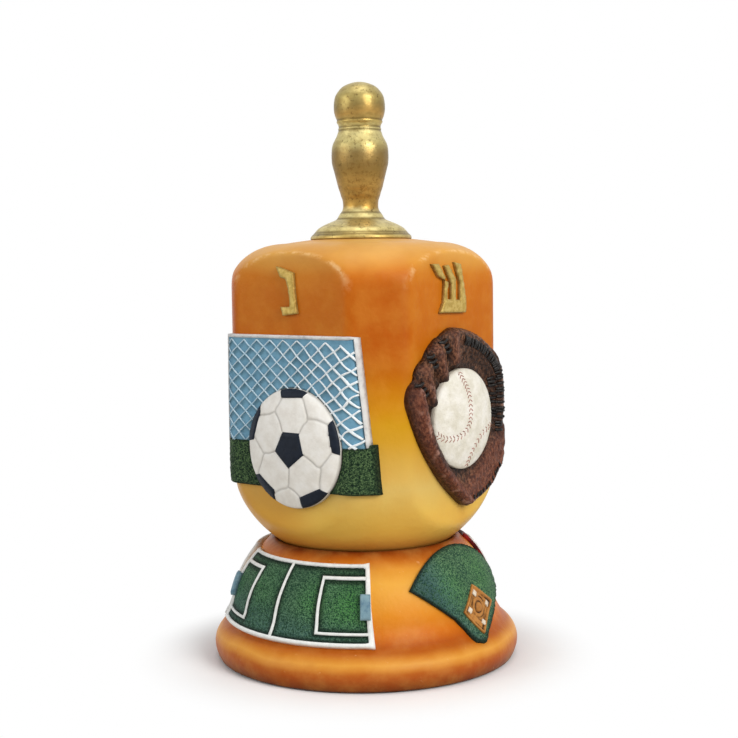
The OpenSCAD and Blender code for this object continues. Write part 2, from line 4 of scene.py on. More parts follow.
import bmesh
import bpy
from mathutils import Matrix, Vector, noise


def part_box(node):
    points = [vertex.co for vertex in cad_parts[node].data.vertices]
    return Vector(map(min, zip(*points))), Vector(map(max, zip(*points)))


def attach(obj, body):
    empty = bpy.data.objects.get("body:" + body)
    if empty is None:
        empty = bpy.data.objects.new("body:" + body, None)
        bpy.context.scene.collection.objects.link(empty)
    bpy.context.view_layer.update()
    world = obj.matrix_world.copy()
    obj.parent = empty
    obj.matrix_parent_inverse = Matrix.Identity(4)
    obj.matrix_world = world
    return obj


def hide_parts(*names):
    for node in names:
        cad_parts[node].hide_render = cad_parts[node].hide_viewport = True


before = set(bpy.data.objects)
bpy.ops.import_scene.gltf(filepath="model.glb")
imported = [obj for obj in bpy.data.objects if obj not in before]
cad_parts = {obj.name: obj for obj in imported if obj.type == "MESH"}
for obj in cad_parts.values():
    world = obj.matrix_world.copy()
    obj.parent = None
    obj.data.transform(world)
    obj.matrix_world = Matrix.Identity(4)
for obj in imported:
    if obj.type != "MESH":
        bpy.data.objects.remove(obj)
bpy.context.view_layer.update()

# Outlines are drawn in millimetres and the meshes are made in metres.
MM = 0.001


def box_mm(node):
    low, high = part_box(node)
    return low / MM, high / MM


# Sizes of the stand, the body and the handle, read off the frame
STAND_LOW, STAND_HIGH = box_mm("stand_base")
BODY_LOW, BODY_HIGH = box_mm("dreidel_body")
HANDLE_LOW, HANDLE_HIGH = box_mm("handle")

LIP_Z = STAND_HIGH.z
BEAD_R = STAND_HIGH.x
STAND_H = STAND_HIGH.z - STAND_LOW.z
FOOT_R = BEAD_R - 1.0
LIP_R = 22.7
LIP_W = 1.1
LIP_FALL = 0.3
WELL_R = 11.0
WELL_Z = STAND_LOW.z + 9.0

CORNER_SHARE = 32.5 / 27.8
FACE_D = BODY_HIGH.x
CORNER_D = FACE_D * CORNER_SHARE
CORNER_ROUND = 4.0
FACE_C = FACE_D - CORNER_ROUND
SIDE_C = math.sqrt(2) * (CORNER_D - CORNER_ROUND) - FACE_C
CROWN_Z = BODY_HIGH.z
CROWN_RISE = 1.0
SHOULDER_RISE = 11.0
SHOULDER_Z = CROWN_Z - CROWN_RISE - SHOULDER_RISE
SHOULDER_R = math.hypot(FACE_C, SIDE_C) + CORNER_ROUND + 0.05
CROWN_R = SHOULDER_R * 0.59
WALL_H = 43.0
BELLY_Z = SHOULDER_Z - WALL_H
BELLY_DROP = 26.1
NUB_R = 8.5
POINT_R = 3.2
POINT_Z = BODY_LOW.z
FLANGE_R = HANDLE_HIGH.x
HANDLE_H = HANDLE_HIGH.z - HANDLE_LOW.z


# Curves, gaps and soft steps

def bow(a, b, rise, count):
    """Points from a up to b on a soft bow that stands rise proud on the left of the way."""
    a, b = Vector(a), Vector(b)
    way = b - a
    top = (a + b) / 2 + Vector((-way.y, way.x)).normalized() * 2 * rise
    shares = [i / count for i in range(count)]
    return [(1 - t) ** 2 * a + 2 * t * (1 - t) * top + t * t * b for t in shares]


def arc(centre, rx, ry, start, end, count):
    """Points of an elliptic arc, angles in degrees, both ends included."""
    turns = [math.radians(start + (end - start) * i / count) for i in range(count + 1)]
    return [Vector((centre[0] + rx * math.cos(a), centre[1] + ry * math.sin(a))) for a in turns]


def smooth_through(points, count, closed=False):
    """Catmull-Rom curve through the points."""
    p = [Vector(q) for q in points]
    n = len(p)
    out = []
    for i in range(n if closed else n - 1):
        if closed:
            a, b, c, d = p[i - 1], p[i], p[(i + 1) % n], p[(i + 2) % n]
        else:
            a, b, c, d = p[max(i - 1, 0)], p[i], p[i + 1], p[min(i + 2, n - 1)]
        for j in range(count):
            t = j / count
            out.append((2 * b + (c - a) * t + (2 * a - 5 * b + 4 * c - d) * t * t
                        + (3 * b - a - 3 * c + d) * t ** 3) / 2)
    if not closed:
        out.append(p[-1])
    return out


def path_gap(spot, path):
    """Distance from a spot to an open path."""
    best = math.inf
    for a, b in zip(path, path[1:]):
        way = b - a
        t = min(max((spot - a).dot(way) / max(way.length_squared, 1e-9), 0.0), 1.0)
        best = min(best, (spot - a - way * t).length)
    return best


def nearest(x, y, *paths):
    """Distance from a spot to the nearest of the paths."""
    spot = Vector((x, y))
    return min(path_gap(spot, path) for path in paths)


def fade(value, start, end):
    """0 at start, 1 at end and smooth between, whichever of the two is higher."""
    t = min(max((value - start) / (end - start), 0.0), 1.0)
    return t * t * (3 - 2 * t)


def bell(value, width):
    """1 at zero, falling softly to nothing at about twice the width."""
    return math.exp(-(value / width) ** 2)


def rising(length, count):
    """Even steps from 0 up to the length, both ends included."""
    return [length * i / count for i in range(count + 1)]


def away(x, y, mid):
    return (Vector((x, y)) - mid).length


def looped(points):
    return points + points[:1]


def walk(corners, step, closed=False, scale=1.0):
    """Points along straight runs. scale is the drawing's unit for a millimetre across."""
    out = []
    for a, b in zip(corners, corners[1:] + corners[:1] if closed else corners[1:]):
        length = math.hypot((b[0] - a[0]) / scale, b[1] - a[1])
        count = max(int(length / step), 1)
        out += [Vector(a).lerp(Vector(b), i / count) for i in range(count)]
    if not closed:
        out.append(Vector(corners[-1]))
    return out


def beside(paths, start, end, most=1.0, scale=1.0):
    """Gives a mark that is most up to start millimetres from the paths and nothing past end."""
    flat = [[Vector((p[0] / scale, p[1])) for p in path] for path in paths]
    return lambda x, y: most * fade(nearest(x / scale, y, *flat), end, start)


def flat_at(height):
    return lambda x, y: height


def lumps(x, y, size, seed=0.0):
    """Soft unevenness between about -1 and 1."""
    return noise.noise(Vector((x / size, y / size, seed)))


# The surfaces that the figures lie on

def from_face(angle):
    """Angle from the middle of the nearest flat side, 0 to an eighth of a turn."""
    return abs((angle + math.pi / 4) % (math.pi / 2) - math.pi / 4)


def prism_radius(angle):
    """Radius of the body's rounded octagon in one direction."""
    fold = from_face(angle)
    way = Vector((math.cos(fold), math.sin(fold)))
    start = math.atan2(SIDE_C, FACE_D)
    lean = CORNER_ROUND / math.sqrt(2)
    end = math.atan2(SIDE_C + lean, FACE_C + lean)
    if fold < start:
        return FACE_D / way.x
    if fold > end:
        return CORNER_D / math.cos(math.pi / 4 - fold)
    centre = Vector((FACE_C, SIDE_C))
    along = way.dot(centre)
    return along + math.sqrt(along ** 2 - centre.length_squared + CORNER_ROUND ** 2)


def on_face(side):
    """Places a drawing, u to the right and z up, on a side of the body: 0 is -Y, 1 +X, 2 +Y, 3 -X."""
    turn = Matrix.Rotation(side * math.pi / 2, 3, "Z")

    def place(u, z, t):
        past = abs(u) - SIDE_C
        bend = CORNER_ROUND + t
        if past <= 0:
            out = FACE_D + t
        elif past < bend / math.sqrt(2):
            out = FACE_C + math.sqrt(bend ** 2 - past ** 2)
        else:
            out = math.sqrt(2) * (CORNER_D + t) - abs(u)
        return turn @ Vector((u, -out, z))

    return place


WAIST_IN, WAIST_RISE = 5.6, 0.475
CREASE_IN, CREASE_RISE = 3.0, 0.305
BEAD_SWELL, CREASE_SWELL, FLANK_HOLLOW = 0.068, 0.01, 0.054
WAIST = Vector((BEAD_R - WAIST_IN, LIP_Z * WAIST_RISE))
CREASE = Vector((BEAD_R - CREASE_IN, LIP_Z * CREASE_RISE))
LIP_EDGE = Vector((LIP_R + LIP_W, LIP_Z - LIP_FALL))
FLANK = (bow((FOOT_R, STAND_LOW.z), CREASE, -STAND_H * BEAD_SWELL, 24)
         + bow(CREASE, WAIST, STAND_H * CREASE_SWELL, 8)
         + bow(WAIST, LIP_EDGE, -STAND_H * FLANK_HOLLOW, 32)
         + bow(LIP_EDGE, (LIP_R, LIP_Z), -LIP_FALL / 2, 6))


def flank_at(z):
    """Radius of the stand's flank at height z, and the outward direction there."""
    for a, b in zip(FLANK, FLANK[1:]):
        if a.y <= z <= b.y:
            t = (z - a.y) / max(b.y - a.y, 1e-6)
            way = (b - a).normalized()
            return a.x + (b.x - a.x) * t, way.y, -way.x
    way = (FLANK[-1] - FLANK[-2]).normalized()
    return FLANK[-1].x, way.y, -way.x


def on_flank(angle, flat=False):
    """Places a drawing on the stand. Across is degrees from angle or, where flat, millimetres seen there."""
    def place(across, z, t):
        r, out, up = flank_at(z)
        if flat:
            turn = math.radians(angle) + math.asin(max(min(across / r, 1.0), -1.0))
        else:
            turn = math.radians(angle + across)
        r += out * t
        return Vector((r * math.cos(turn), r * math.sin(turn), z + up * t))

    return place


# Mesh makers

def new_piece(mesh, material, body, slot, *stands_for):
    mesh.materials.append(material)
    piece = bpy.data.objects.new(mesh.name, mesh)
    bpy.context.collection.objects.link(piece)
    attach(piece, body)
    if stands_for:
        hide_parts(*stands_for)


def finish_mesh(name, bm):
    bmesh.ops.recalc_face_normals(bm, faces=bm.faces)
    mesh = bpy.data.meshes.new(name)
    bm.to_mesh(mesh)
    bm.free()
    for face in mesh.polygons:
        face.use_smooth = True
    return mesh


def joined(name, meshes):
    """One mesh of several."""
    bm = bmesh.new()
    for mesh in meshes:
        bm.from_mesh(mesh)
        bpy.data.meshes.remove(mesh)
    return finish_mesh(name, bm)


def cut_into_cells(bm, step):
    for axis in (0, 1):
        low = min(v.co[axis] for v in bm.verts)
        high = max(v.co[axis] for v in bm.verts)
        count = int((high - low) / step)
        for i in range(1, count + 1):
            at = low + (high - low) * i / (count + 1)
            spot = Vector((at, 0, 0)) if axis == 0 else Vector((0, at, 0))
            way = Vector((1, 0, 0)) if axis == 0 else Vector((0, 1, 0))
            everything = bm.verts[:] + bm.edges[:] + bm.faces[:]
            bmesh.ops.bisect_plane(bm, geom=everything, plane_co=spot, plane_no=way)


NO_MARKS = {}


def new_layers(bm, marks):
    return [bm.verts.layers.float.new(key) for key in marks]


def new_corner(bm, layers, spot, values):
    corner = bm.verts.new(spot * MM)
    for layer, value in zip(layers, values):
        corner[layer] = value
    return corner


def join_rows(bm, rows, count):
    """Faces between rows of count corners. A row of one is a tip."""
    for a, b in zip(rows, rows[1:]):
        for i in range(count):
            j = (i + 1) % count
            corners = [a[i % len(a)], a[j % len(a)], b[j % len(b)], b[i % len(b)]]
            bm.faces.new(list(dict.fromkeys(corners)))


def relief(name, outlines, place, top, bevel, step, bottom=flat_at(-0.3), marks=NO_MARKS, scale=1.0):
    """Raised figure: each outline is cut into cells, given its height by top(x, y) and laid on a surface.
    marks names attributes and the functions of x and y that give them."""
    done = bmesh.new()
    layers = new_layers(done, marks)
    for outline in outlines:
        bm = bmesh.new()
        bm.faces.new([bm.verts.new((x / scale, y, 0)) for x, y in outline])
        bmesh.ops.inset_region(bm, faces=bm.faces[:], thickness=bevel, use_even_offset=True)
        cut_into_cells(bm, step)
        bm.verts.index_update()
        low, high = [], []
        for vert in bm.verts:
            x, y = vert.co.x * scale, vert.co.y
            height = top(x, y) - (bevel * 0.9 if vert.is_boundary else 0.0)
            foot = min(bottom(x, y), height - 0.02)
            values = [paint(x, y) for paint in marks.values()]
            low.append(new_corner(done, layers, place(x, y, foot), values))
            high.append(new_corner(done, layers, place(x, y, height), values))
        for face in bm.faces:
            ids = [v.index for v in face.verts]
            done.faces.new([high[i] for i in ids])
            done.faces.new([low[i] for i in reversed(ids)])
        for edge in bm.edges:
            if edge.is_boundary:
                a, b = (v.index for v in edge.verts)
                done.faces.new([high[a], high[b], low[b], low[a]])
        bm.free()
    return finish_mesh(name, done)


def turned(name, profile, count, limit=None, marks=NO_MARKS):
    """Turned body from a profile of (radius, height). limit(angle) caps the radius softly."""
    bm = bmesh.new()
    layers = new_layers(bm, marks)
    rows = []
    for r, z in profile:
        if r < 1e-4:
            rows.append([bm.verts.new((0, 0, z * MM))])
            continue
        row = []
        for angle in rising(2 * math.pi, count)[:-1]:
            cap = limit(angle) if limit else r
            out = soft_least(r, cap) if limit else r
            spot = Vector((out * math.cos(angle), out * math.sin(angle), z))
            row.append(new_corner(bm, layers, spot, [paint(r, z, angle, cap) for paint in marks.values()]))
        rows.append(row)
    join_rows(bm, rows, count)
    return finish_mesh(name, bm)


def soft_least(a, b, blend=0.9):
    """The lesser of two lengths, with a soft edge where they meet."""
    near = max(blend - abs(a - b), 0.0) / blend
    return min(a, b) - near * near * blend / 4


RIBBON_SHAPE = [(-1.0, 0.0), (-1.0, 0.7), (-0.72, 1.0), (0.0, 1.04), (0.72, 1.0), (1.0, 0.7), (1.0, 0.0)]


def ribbon(name, paths, place, width, top, bottom=0.0, closed=False, scale=1.0, uneven=0.06):
    """Painted line or rail with soft shoulders, laid along each path.
    Width is a length, or a function of x and y. scale is the drawing's unit for a millimetre across."""
    bm = bmesh.new()
    for path in paths:
        p = [Vector((q[0] / scale, q[1])) for q in path]
        n = len(p)
        rows = []
        for i in range(n):
            before = p[i] - p[i - 1] if i or closed else p[1] - p[0]
            after = p[(i + 1) % n] - p[i] if i < n - 1 or closed else p[-1] - p[-2]
            side_a = Vector((before.y, -before.x)).normalized()
            side_b = Vector((after.y, -after.x)).normalized()
            side = (side_a + side_b).normalized()
            side /= max(side.dot(side_a), 0.4)
            half = (width(*p[i]) if callable(width) else width) / 2
            half *= 1 + uneven * lumps(p[i].x, p[i].y, 1.7, 3.0)
            height = top + uneven * lumps(p[i].x, p[i].y, 2.3, 9.0) * 0.6
            row = []
            for across, up in RIBBON_SHAPE:
                spot = p[i] + side * across * half
                row.append(bm.verts.new(place(spot.x * scale, spot.y, bottom + (height - bottom) * up) * MM))
            rows.append(row)
        last = len(RIBBON_SHAPE) - 1
        for a, b in zip(rows, rows[1:] + rows[:1] if closed else rows[1:]):
            for j in range(last):
                bm.faces.new([a[j], a[j + 1], b[j + 1], b[j]])
            bm.faces.new([a[last], a[0], b[0], b[last]])
        if not closed:
            bm.faces.new(rows[0])
            bm.faces.new(rows[-1])
    return finish_mesh(name, bm)


def disc_relief(name, mid, radius, place, top, bottom, rings, spokes, marks=NO_MARKS,
                squeeze=lambda turn: 1.0):
    """Raised round figure on a web of rings and spokes, dense enough for seams."""
    bm = bmesh.new()
    layers = new_layers(bm, marks)

    def corner(share, turn, height=None):
        r = radius * share * squeeze(turn)
        x, y = mid.x + r * math.cos(turn), mid.y + r * math.sin(turn)
        spot = place(x, y, top(x, y) if height is None else height)
        return new_corner(bm, layers, spot, [paint(x, y) for paint in marks.values()])

    turns = rising(2 * math.pi, spokes)[:-1]
    rows = [[corner(0, 0)]]
    rows += [[corner(math.sin(part), turn) for turn in turns] for part in rising(math.pi / 2, rings)[1:]]
    rows.append([corner(1, turn, bottom) for turn in turns])
    join_rows(bm, rows, spokes)
    bm.faces.new(rows[-1])
    return finish_mesh(name, bm)


# Nodes, and shader maths as Python expressions

class Wire:
    """A node's output that Python's operators work on."""

    def __init__(self, board, socket):
        self.board = board
        self.socket = socket

    def math(self, kind, other, swapped=False):
        pair = (other, self) if swapped else (self, other)
        return self.board.node("ShaderNodeMath", {"operation": kind}, {0: pair[0], 1: pair[1]})

    def __add__(self, other):
        return self.math("ADD", other)

    def __sub__(self, other):
        return self.math("SUBTRACT", other)

    def __rsub__(self, other):
        return self.math("SUBTRACT", other, True)

    def __mul__(self, other):
        return self.math("MULTIPLY", other)

    def __truediv__(self, other):
        return self.math("DIVIDE", other)

    __radd__ = __add__
    __rmul__ = __mul__


def colour(text):
    """Linear colour from a hex code."""
    parts = [int(text[i:i + 2], 16) / 255 for i in (1, 3, 5)]
    return [c / 12.92 if c <= 0.04045 else ((c + 0.055) / 1.055) ** 2.4 for c in parts] + [1.0]


class Board:
    """Adds nodes to one tree."""

    def __init__(self, tree):
        self.tree = tree

    def node(self, kind, settings=None, sockets=None, output=0):
        made = self.tree.nodes.new(kind)
        for key, value in (settings or {}).items():
            if key == "stops":
                self.fill_ramp(made.color_ramp, value)
            else:
                setattr(made, key, value)
        for key, value in (sockets or {}).items():
            if isinstance(value, Wire):
                self.tree.links.new(value.socket, made.inputs[key])
            else:
                made.inputs[key].default_value = value
        return Wire(self, made.outputs[output]) if made.outputs else made

    @staticmethod
    def fill_ramp(ramp, stops):
        while len(ramp.elements) < len(stops):
            ramp.elements.new(1.0)
        for element, (spot, value) in zip(ramp.elements, stops):
            element.position = spot
            element.color = value

    def seen(self):
        """1 for a ray that the camera sends out, straight or by way of metal or glass."""
        straight, shine, through = [self.node("ShaderNodeLightPath", output=f"Is {kind} Ray")
                                    for kind in ("Camera", "Glossy", "Transmission")]
        return straight.math("MAXIMUM", shine).math("MAXIMUM", through)


class Paint(Board):
    """One material, its shader, and short ways to add nodes. Its colour is built up from coat to coat."""

    def __init__(self, name, roughness=0.5, **fixed):
        self.material = bpy.data.materials.new(name)
        self.material.use_nodes = True
        super().__init__(self.material.node_tree)
        self.shader = self.tree.nodes["Principled BSDF"]
        self.shader.inputs["Roughness"].default_value = roughness
        self.shader.inputs["Specular IOR Level"].default_value = 0.1
        for key, value in fixed.items():
            self.shader.inputs[key.replace("_", " ")].default_value = value
        self.place = self.node("ShaderNodeTexCoord", output="Object")

    def feed(self, socket, value):
        self.tree.links.new(value.socket, self.shader.inputs[socket])

    def noise(self, size, detail=3.0, rough=0.5, stretch=None):
        """Soft noise with lumps of about size millimetres."""
        where = self.place
        if stretch:
            where = self.node("ShaderNodeMapping", None, {"Vector": where, "Scale": stretch}, "Vector")
        return self.node("ShaderNodeTexNoise", None, {
            "Vector": where, "Scale": 1 / (size * MM), "Detail": detail, "Roughness": rough})

    def specks(self, size):
        """Distance from the middles of cells of about size millimetres."""
        return self.node("ShaderNodeTexVoronoi", None, {
            "Vector": self.place, "Scale": 1 / (size * MM)}, "Distance")

    def band(self, value, low, high):
        """0 at low, 1 at high, smooth between."""
        return self.node("ShaderNodeMapRange", {"interpolation_type": "SMOOTHSTEP"}, {
            "Value": value, "From Min": low, "From Max": high})

    def cloud(self, low, high, *noise):
        """Patches of noise, cut off softly between low and high."""
        return self.band(self.noise(*noise), low, high)

    def ramp(self, factor, stops):
        return self.node("ShaderNodeValToRGB", {"stops": [(s, colour(c)) for s, c in stops]}, {"Fac": factor})

    def mix(self, factor, a, b):
        a, b = [colour(c) if isinstance(c, str) else c for c in (a, b)]
        return self.node("ShaderNodeMix", {"data_type": "RGBA"}, {0: factor, 6: a, 7: b}, 2)

    def attribute(self, name):
        return self.node("ShaderNodeAttribute", {"attribute_name": name}, None, "Fac")

    def axis(self, name):
        return self.node("ShaderNodeSeparateXYZ", None, {"Vector": self.place}, name)

    def ground(self, factor, stops):
        """First coat, which runs through the stops."""
        self.tone = self.ramp(factor, stops)

    def coat(self, factor, tone):
        """One more coat, where factor is above nothing."""
        self.tone = self.mix(factor, self.tone, tone)

    def done(self, relief, depth, gloss=None):
        """Joins the coats, a relief of about depth millimetres and the roughness to the shader."""
        self.feed("Base Color", self.tone)
        self.feed("Normal", self.node("ShaderNodeBump", None, {"Height": relief, "Distance": depth * MM}))
        if gloss:
            self.feed("Roughness", gloss)
        return self.material


# Geometry Nodes: a cord that follows each path of a piece

def cord_tree():
    tree = bpy.data.node_groups.new("lay_cord", "GeometryNodeTree")
    board = Board(tree)
    given = {}
    for name, kind in (("Paths", "Geometry"), ("Radius", "Float"), ("Sides", "Int"), ("Wobble", "Float"),
                       ("Finish", "Material")):
        tree.interface.new_socket(name, in_out="INPUT", socket_type="NodeSocket" + kind)
        given[name] = board.node("NodeGroupInput", output=name)
    tree.interface.new_socket("Cord", in_out="OUTPUT", socket_type="NodeSocketGeometry")
    uneven = board.node("ShaderNodeTexNoise", None, {"Scale": 900.0})
    swell = board.node("ShaderNodeMapRange", None, {
        "Value": uneven, "To Min": 1.0, "To Max": given["Wobble"] + 1.0})
    curve = board.node("GeometryNodeMeshToCurve", None, {"Mesh": given["Paths"]})
    ring = board.node("GeometryNodeCurvePrimitiveCircle", None, {
        "Radius": given["Radius"], "Resolution": given["Sides"]})
    tube = board.node("GeometryNodeCurveToMesh", None, {
        "Curve": curve, "Profile Curve": ring, "Scale": swell, "Fill Caps": True})
    real = board.node("GeometryNodeRealizeInstances", None, {"Geometry": tube})
    painted = board.node("GeometryNodeSetMaterial", None, {"Geometry": real, "Material": given["Finish"]})
    board.node("NodeGroupOutput", None, {"Cord": painted})
    return tree


CORD_TREE = cord_tree()


def cords(name, paths, material, slot, *stands_for, radius, wobble, sides=8):
    """Round cords on the dreidel, along paths of points in millimetres."""
    wire = bpy.data.meshes.new(name + "_paths")
    points, edges = [], []
    for path in paths:
        first = len(points)
        points += [tuple(Vector(p) * MM) for p in path]
        edges += [(i, i + 1) for i in range(first, len(points) - 1)]
    wire.from_pydata(points, edges, [])
    maker = bpy.data.objects.new(name + "_maker", wire)
    bpy.context.collection.objects.link(maker)
    modifier = maker.modifiers.new("lay_cord", "NODES")
    modifier.node_group = CORD_TREE
    values = {"Radius": radius * MM, "Sides": sides, "Wobble": wobble, "Finish": material}
    for item in CORD_TREE.interface.items_tree:
        if item.item_type == "SOCKET" and item.name in values:
            modifier[item.identifier] = values[item.name]
    graph = bpy.context.evaluated_depsgraph_get()
    mesh = bpy.data.meshes.new_from_object(maker.evaluated_get(graph), depsgraph=graph)
    bpy.data.objects.remove(maker)
    bpy.data.meshes.remove(wire)
    mesh.name = name
    mesh.materials.clear()
    for face in mesh.polygons:
        face.use_smooth = True
    new_piece(mesh, material, "dreidel", slot, *stands_for)


# Paints

def body_paint():
    """Airbrushed resin: burnt orange over golden yellow, the yellow brightened low on the belly as painted
    bounce light, a lighter crown with pale scuffs on its rim, flats yellower and corners redder above, and
    painted orange bounce light from the stand, browner, low on the left."""
    p = Paint("body_airbrush", 0.42)
    z = p.axis("Z") + (p.noise(24, 2) - 0.5) * 0.007
    low, high = (BELLY_Z - 20) * MM, CROWN_Z * MM
    level = (z - low) / (high - low)
    # Orange above and golden yellow below is the airbrush; the yellow low on the belly is made brighter as
    # painted bounce light.
    p.ground(level, [
        (0.0, "#E2B050"), (0.08, "#E4B650"), (0.125, "#E4BA56"), (0.165, "#E0BA5E"),
        (0.21, "#DCBA66"), (0.37, "#D19C2A"), (0.42, "#CE9612"), (0.46, "#CC8A0C"), (0.5, "#C87E06"),
        (0.54, "#C47404"), (0.585, "#C26A06"), (0.63, "#C06006"), (0.67, "#BD5B06"),
        (0.74, "#BB5A08"), (0.84, "#C0600E"), (0.88, "#C86E1A"), (0.915, "#D5903E"),
        (0.95, "#DDA454"), (0.975, "#DCA85C"), (1.0, "#D49E50")])
    flat, upper = p.attribute("flat"), p.band(level, 0.5, 0.62)
    p.coat(flat * upper * 0.2, "#C88A1C")
    p.coat((1.0 - flat) * upper * p.band(level, 0.9, 0.82) * 0.22, "#9A4A04")
    # Painted bounce light: orange from the stand, browning the belly low on the left.
    left = p.axis("X") + p.axis("Y") * 0.8
    p.coat(p.band(left, -0.012, -0.027) * p.band(level, 0.34, 0.18) * 0.45, "#C4781A")
    p.coat(p.cloud(0.35, 0.75, 7, 4, 0.6) * 0.22, "#E0A040")
    p.coat(p.cloud(0.5, 0.8, 15, 3) * 0.25, "#A8540A")
    p.coat(p.attribute("shade") * 0.65, "#9A4A10")
    p.coat(p.attribute("rim") * p.cloud(0.42, 0.62, 3.0, 4, 0.7) * 0.6, "#F2CE96")
    p.coat(p.band(p.specks(9), 0.035, 0.02) * p.cloud(0.5, 0.6, 11) * 0.5, "#7A3E10")
    return p.done(p.noise(1.6, 4, 0.6) + p.noise(9) * 2.0, 0.10, p.noise(5) * 0.18 + 0.32)


def stand_paint():
    """The stand's orange by height, with painted shade under the lip, in the crease and at the foot, and a
    painted highlight along the top of the bead.
    """
    p = Paint("stand_airbrush", 0.42)
    z = p.axis("Z") + (p.noise(16, 2) - 0.5) * 0.0025
    level = z / (LIP_Z * MM)
    # Painted shade and highlight by height: dark at the foot, light along the bead's top, dark in the crease
    # and under the lip.
    p.ground(level, [
        (0.0, "#6E3410"), (0.07, "#9A4A18"), (0.12, "#AE521A"), (0.155, "#B8601E"),
        (0.19, "#D08430"), (0.225, "#DC983C"), (0.26, "#CE822A"), (0.3, "#B85E10"),
        (0.34, "#B4560E"), (0.42, "#CE6E12"), (0.56, "#DE8A20"), (0.78, "#E6A63C"),
        (0.87, "#DC9432"), (0.93, "#BE6818"), (0.965, "#A04E10"), (1.0, "#6C2C0A")])
    p.coat(p.cloud(0.35, 0.75, 6, 4, 0.6) * 0.2, "#EFB45C")
    p.coat(p.cloud(0.52, 0.8, 10, 3) * 0.28, "#B25C16")
    p.coat(p.attribute("shade") * 0.7, "#94420C")
    p.coat(p.cloud(0.66, 0.74, 1.8, 4, 0.7) * 0.3, "#F4D09A")
    return p.done(p.noise(1.4, 4, 0.6) + p.noise(8) * 2.0, 0.10, p.noise(5) * 0.18 + 0.3)


def turf_paint(name, deep, mid, light, glow=None):
    """Stippled grass: dark wash in the hollows, darker beside the lines and along the edges, lighter dabs,
    and a blue glaze.
    """
    p = Paint(name, 0.6)
    blades = p.noise(0.6, 4, 0.7)
    fine = p.noise(0.3, 3, 0.6)
    p.ground(p.band(blades * 0.5 + fine * 0.5, 0.36, 0.62), [(0.0, deep), (0.5, mid), (1.0, light)])
    p.coat(p.cloud(0.4, 0.7, 9, 2) * 0.35, deep)
    if glow:
        p.coat(p.attribute("heart") * p.band(fine, 0.4, 0.6) * 0.6, glow)
    p.coat(p.attribute("cool") * p.band(blades, 0.38, 0.56) * 0.6, "#4A6C7C")
    p.coat(p.attribute("edge") * 0.85, "#0C1812")
    return p.done(blades * 1.4 + fine, 0.4)


def washed_paint(name, tone, wash, roughness=0.5, amount=0.5, size=1.6, depth=0.08,
                 mark=None, dark=None, cover=0.6, **fixed):
    """Hand-brushed paint over resin with a darker wash that settles unevenly, most of all on the mark; on the
    net's backing the mark is a painted shadow of the strands.
    """
    p = Paint(name, roughness, **fixed)
    p.tone = tone
    p.coat(p.cloud(0.42, 0.72, size, 4, 0.65) * amount, wash)
    p.coat(p.cloud(0.4, 0.7, size * 3, 2) * amount * 0.5, wash)
    if mark:
        p.coat(p.attribute(mark) * p.cloud(0.3, 0.6, 3.0, 3) * cover, dark)
    return p.done(p.noise(size * 0.6, 4, 0.6), depth, p.noise(size * 2) * 0.2 + (roughness - 0.1))


def net_paint():
    """Strands dry-brushed pale blue, and whiter towards the right post."""
    p = Paint("net_white", 0.5)
    p.tone = "#A9C9DA"
    right_side = p.band(p.axis("X") + (p.noise(3.0) - 0.5) * 0.03, -0.014, 0.016)
    p.coat(right_side * 0.7 + p.cloud(0.35, 0.65, 1.3, 4, 0.7) * 0.3, "#F4F7F8")
    return p.done(p.noise(0.7, 4, 0.6), 0.08)


def antique_brass():
    """Turned gold-bronze with painted reflections, bright on its shoulders and rings, and brown patina spots
    on the barrel.
    """
    p = Paint("antique_brass", 0.36, Metallic=0.85)
    z = p.axis("Z") + (p.noise(5, 3, 0.6) - 0.5) * 0.004
    level = (z - HANDLE_LOW.z * MM) / (HANDLE_H * MM)
    # Painted reflections by height: light bands on the knob, the rings, the barrel's shoulder and the flange,
    # darker bands between them.
    p.ground(level, [
        (0.0, "#B9A05C"), (0.06, "#D2C284"), (0.13, "#CFBF82"), (0.17, "#D6C88C"), (0.21, "#A5813F"),
        (0.33, "#B08A48"), (0.42, "#92733C"), (0.54, "#867044"), (0.62, "#C2B478"),
        (0.68, "#CDBF84"), (0.73, "#C0AA66"), (0.79, "#B08B4B"), (0.84, "#8C7846"), (0.9, "#A8975C"),
        (1.0, "#C0B078")])
    turning = p.noise(1.6, 5, 0.7, (0.7, 0.7, 1.4))
    p.coat(p.band(turning, 0.4, 0.65) * 0.4, "#846A36")
    p.coat(p.cloud(0.55, 0.66, 0.8, 4, 0.7) * p.cloud(0.42, 0.58, 5, 2) * 0.75, "#4E3A1C")
    barrel = p.band(level, 0.2, 0.28) * p.band(level, 0.56, 0.44)
    p.coat(p.cloud(0.5, 0.62, 1.1, 5, 0.75) * barrel * 0.5, "#6E4E22")
    p.coat(p.attribute("groove") * 0.75, "#5E4A22")
    return p.done(turning * 0.5 + p.noise(1.6, 3) * 0.8, 0.09, p.noise(1.8, 4, 0.6) * 0.2 + 0.3)


def gold_letter():
    """Dull gold paint, rubbed lighter on its face."""
    p = Paint("gold_letter_paint", 0.42, Metallic=0.3)
    p.ground(p.cloud(0.3, 0.7, 1.2, 4, 0.7), [(0.0, "#A68A44"), (0.5, "#BCA056"), (1.0, "#CEB46C")])
    p.coat(p.attribute("edge") * 0.35, "#7A5420")
    return p.done(p.noise(0.8, 4, 0.6), 0.10, p.noise(1.4) * 0.25 + 0.28)


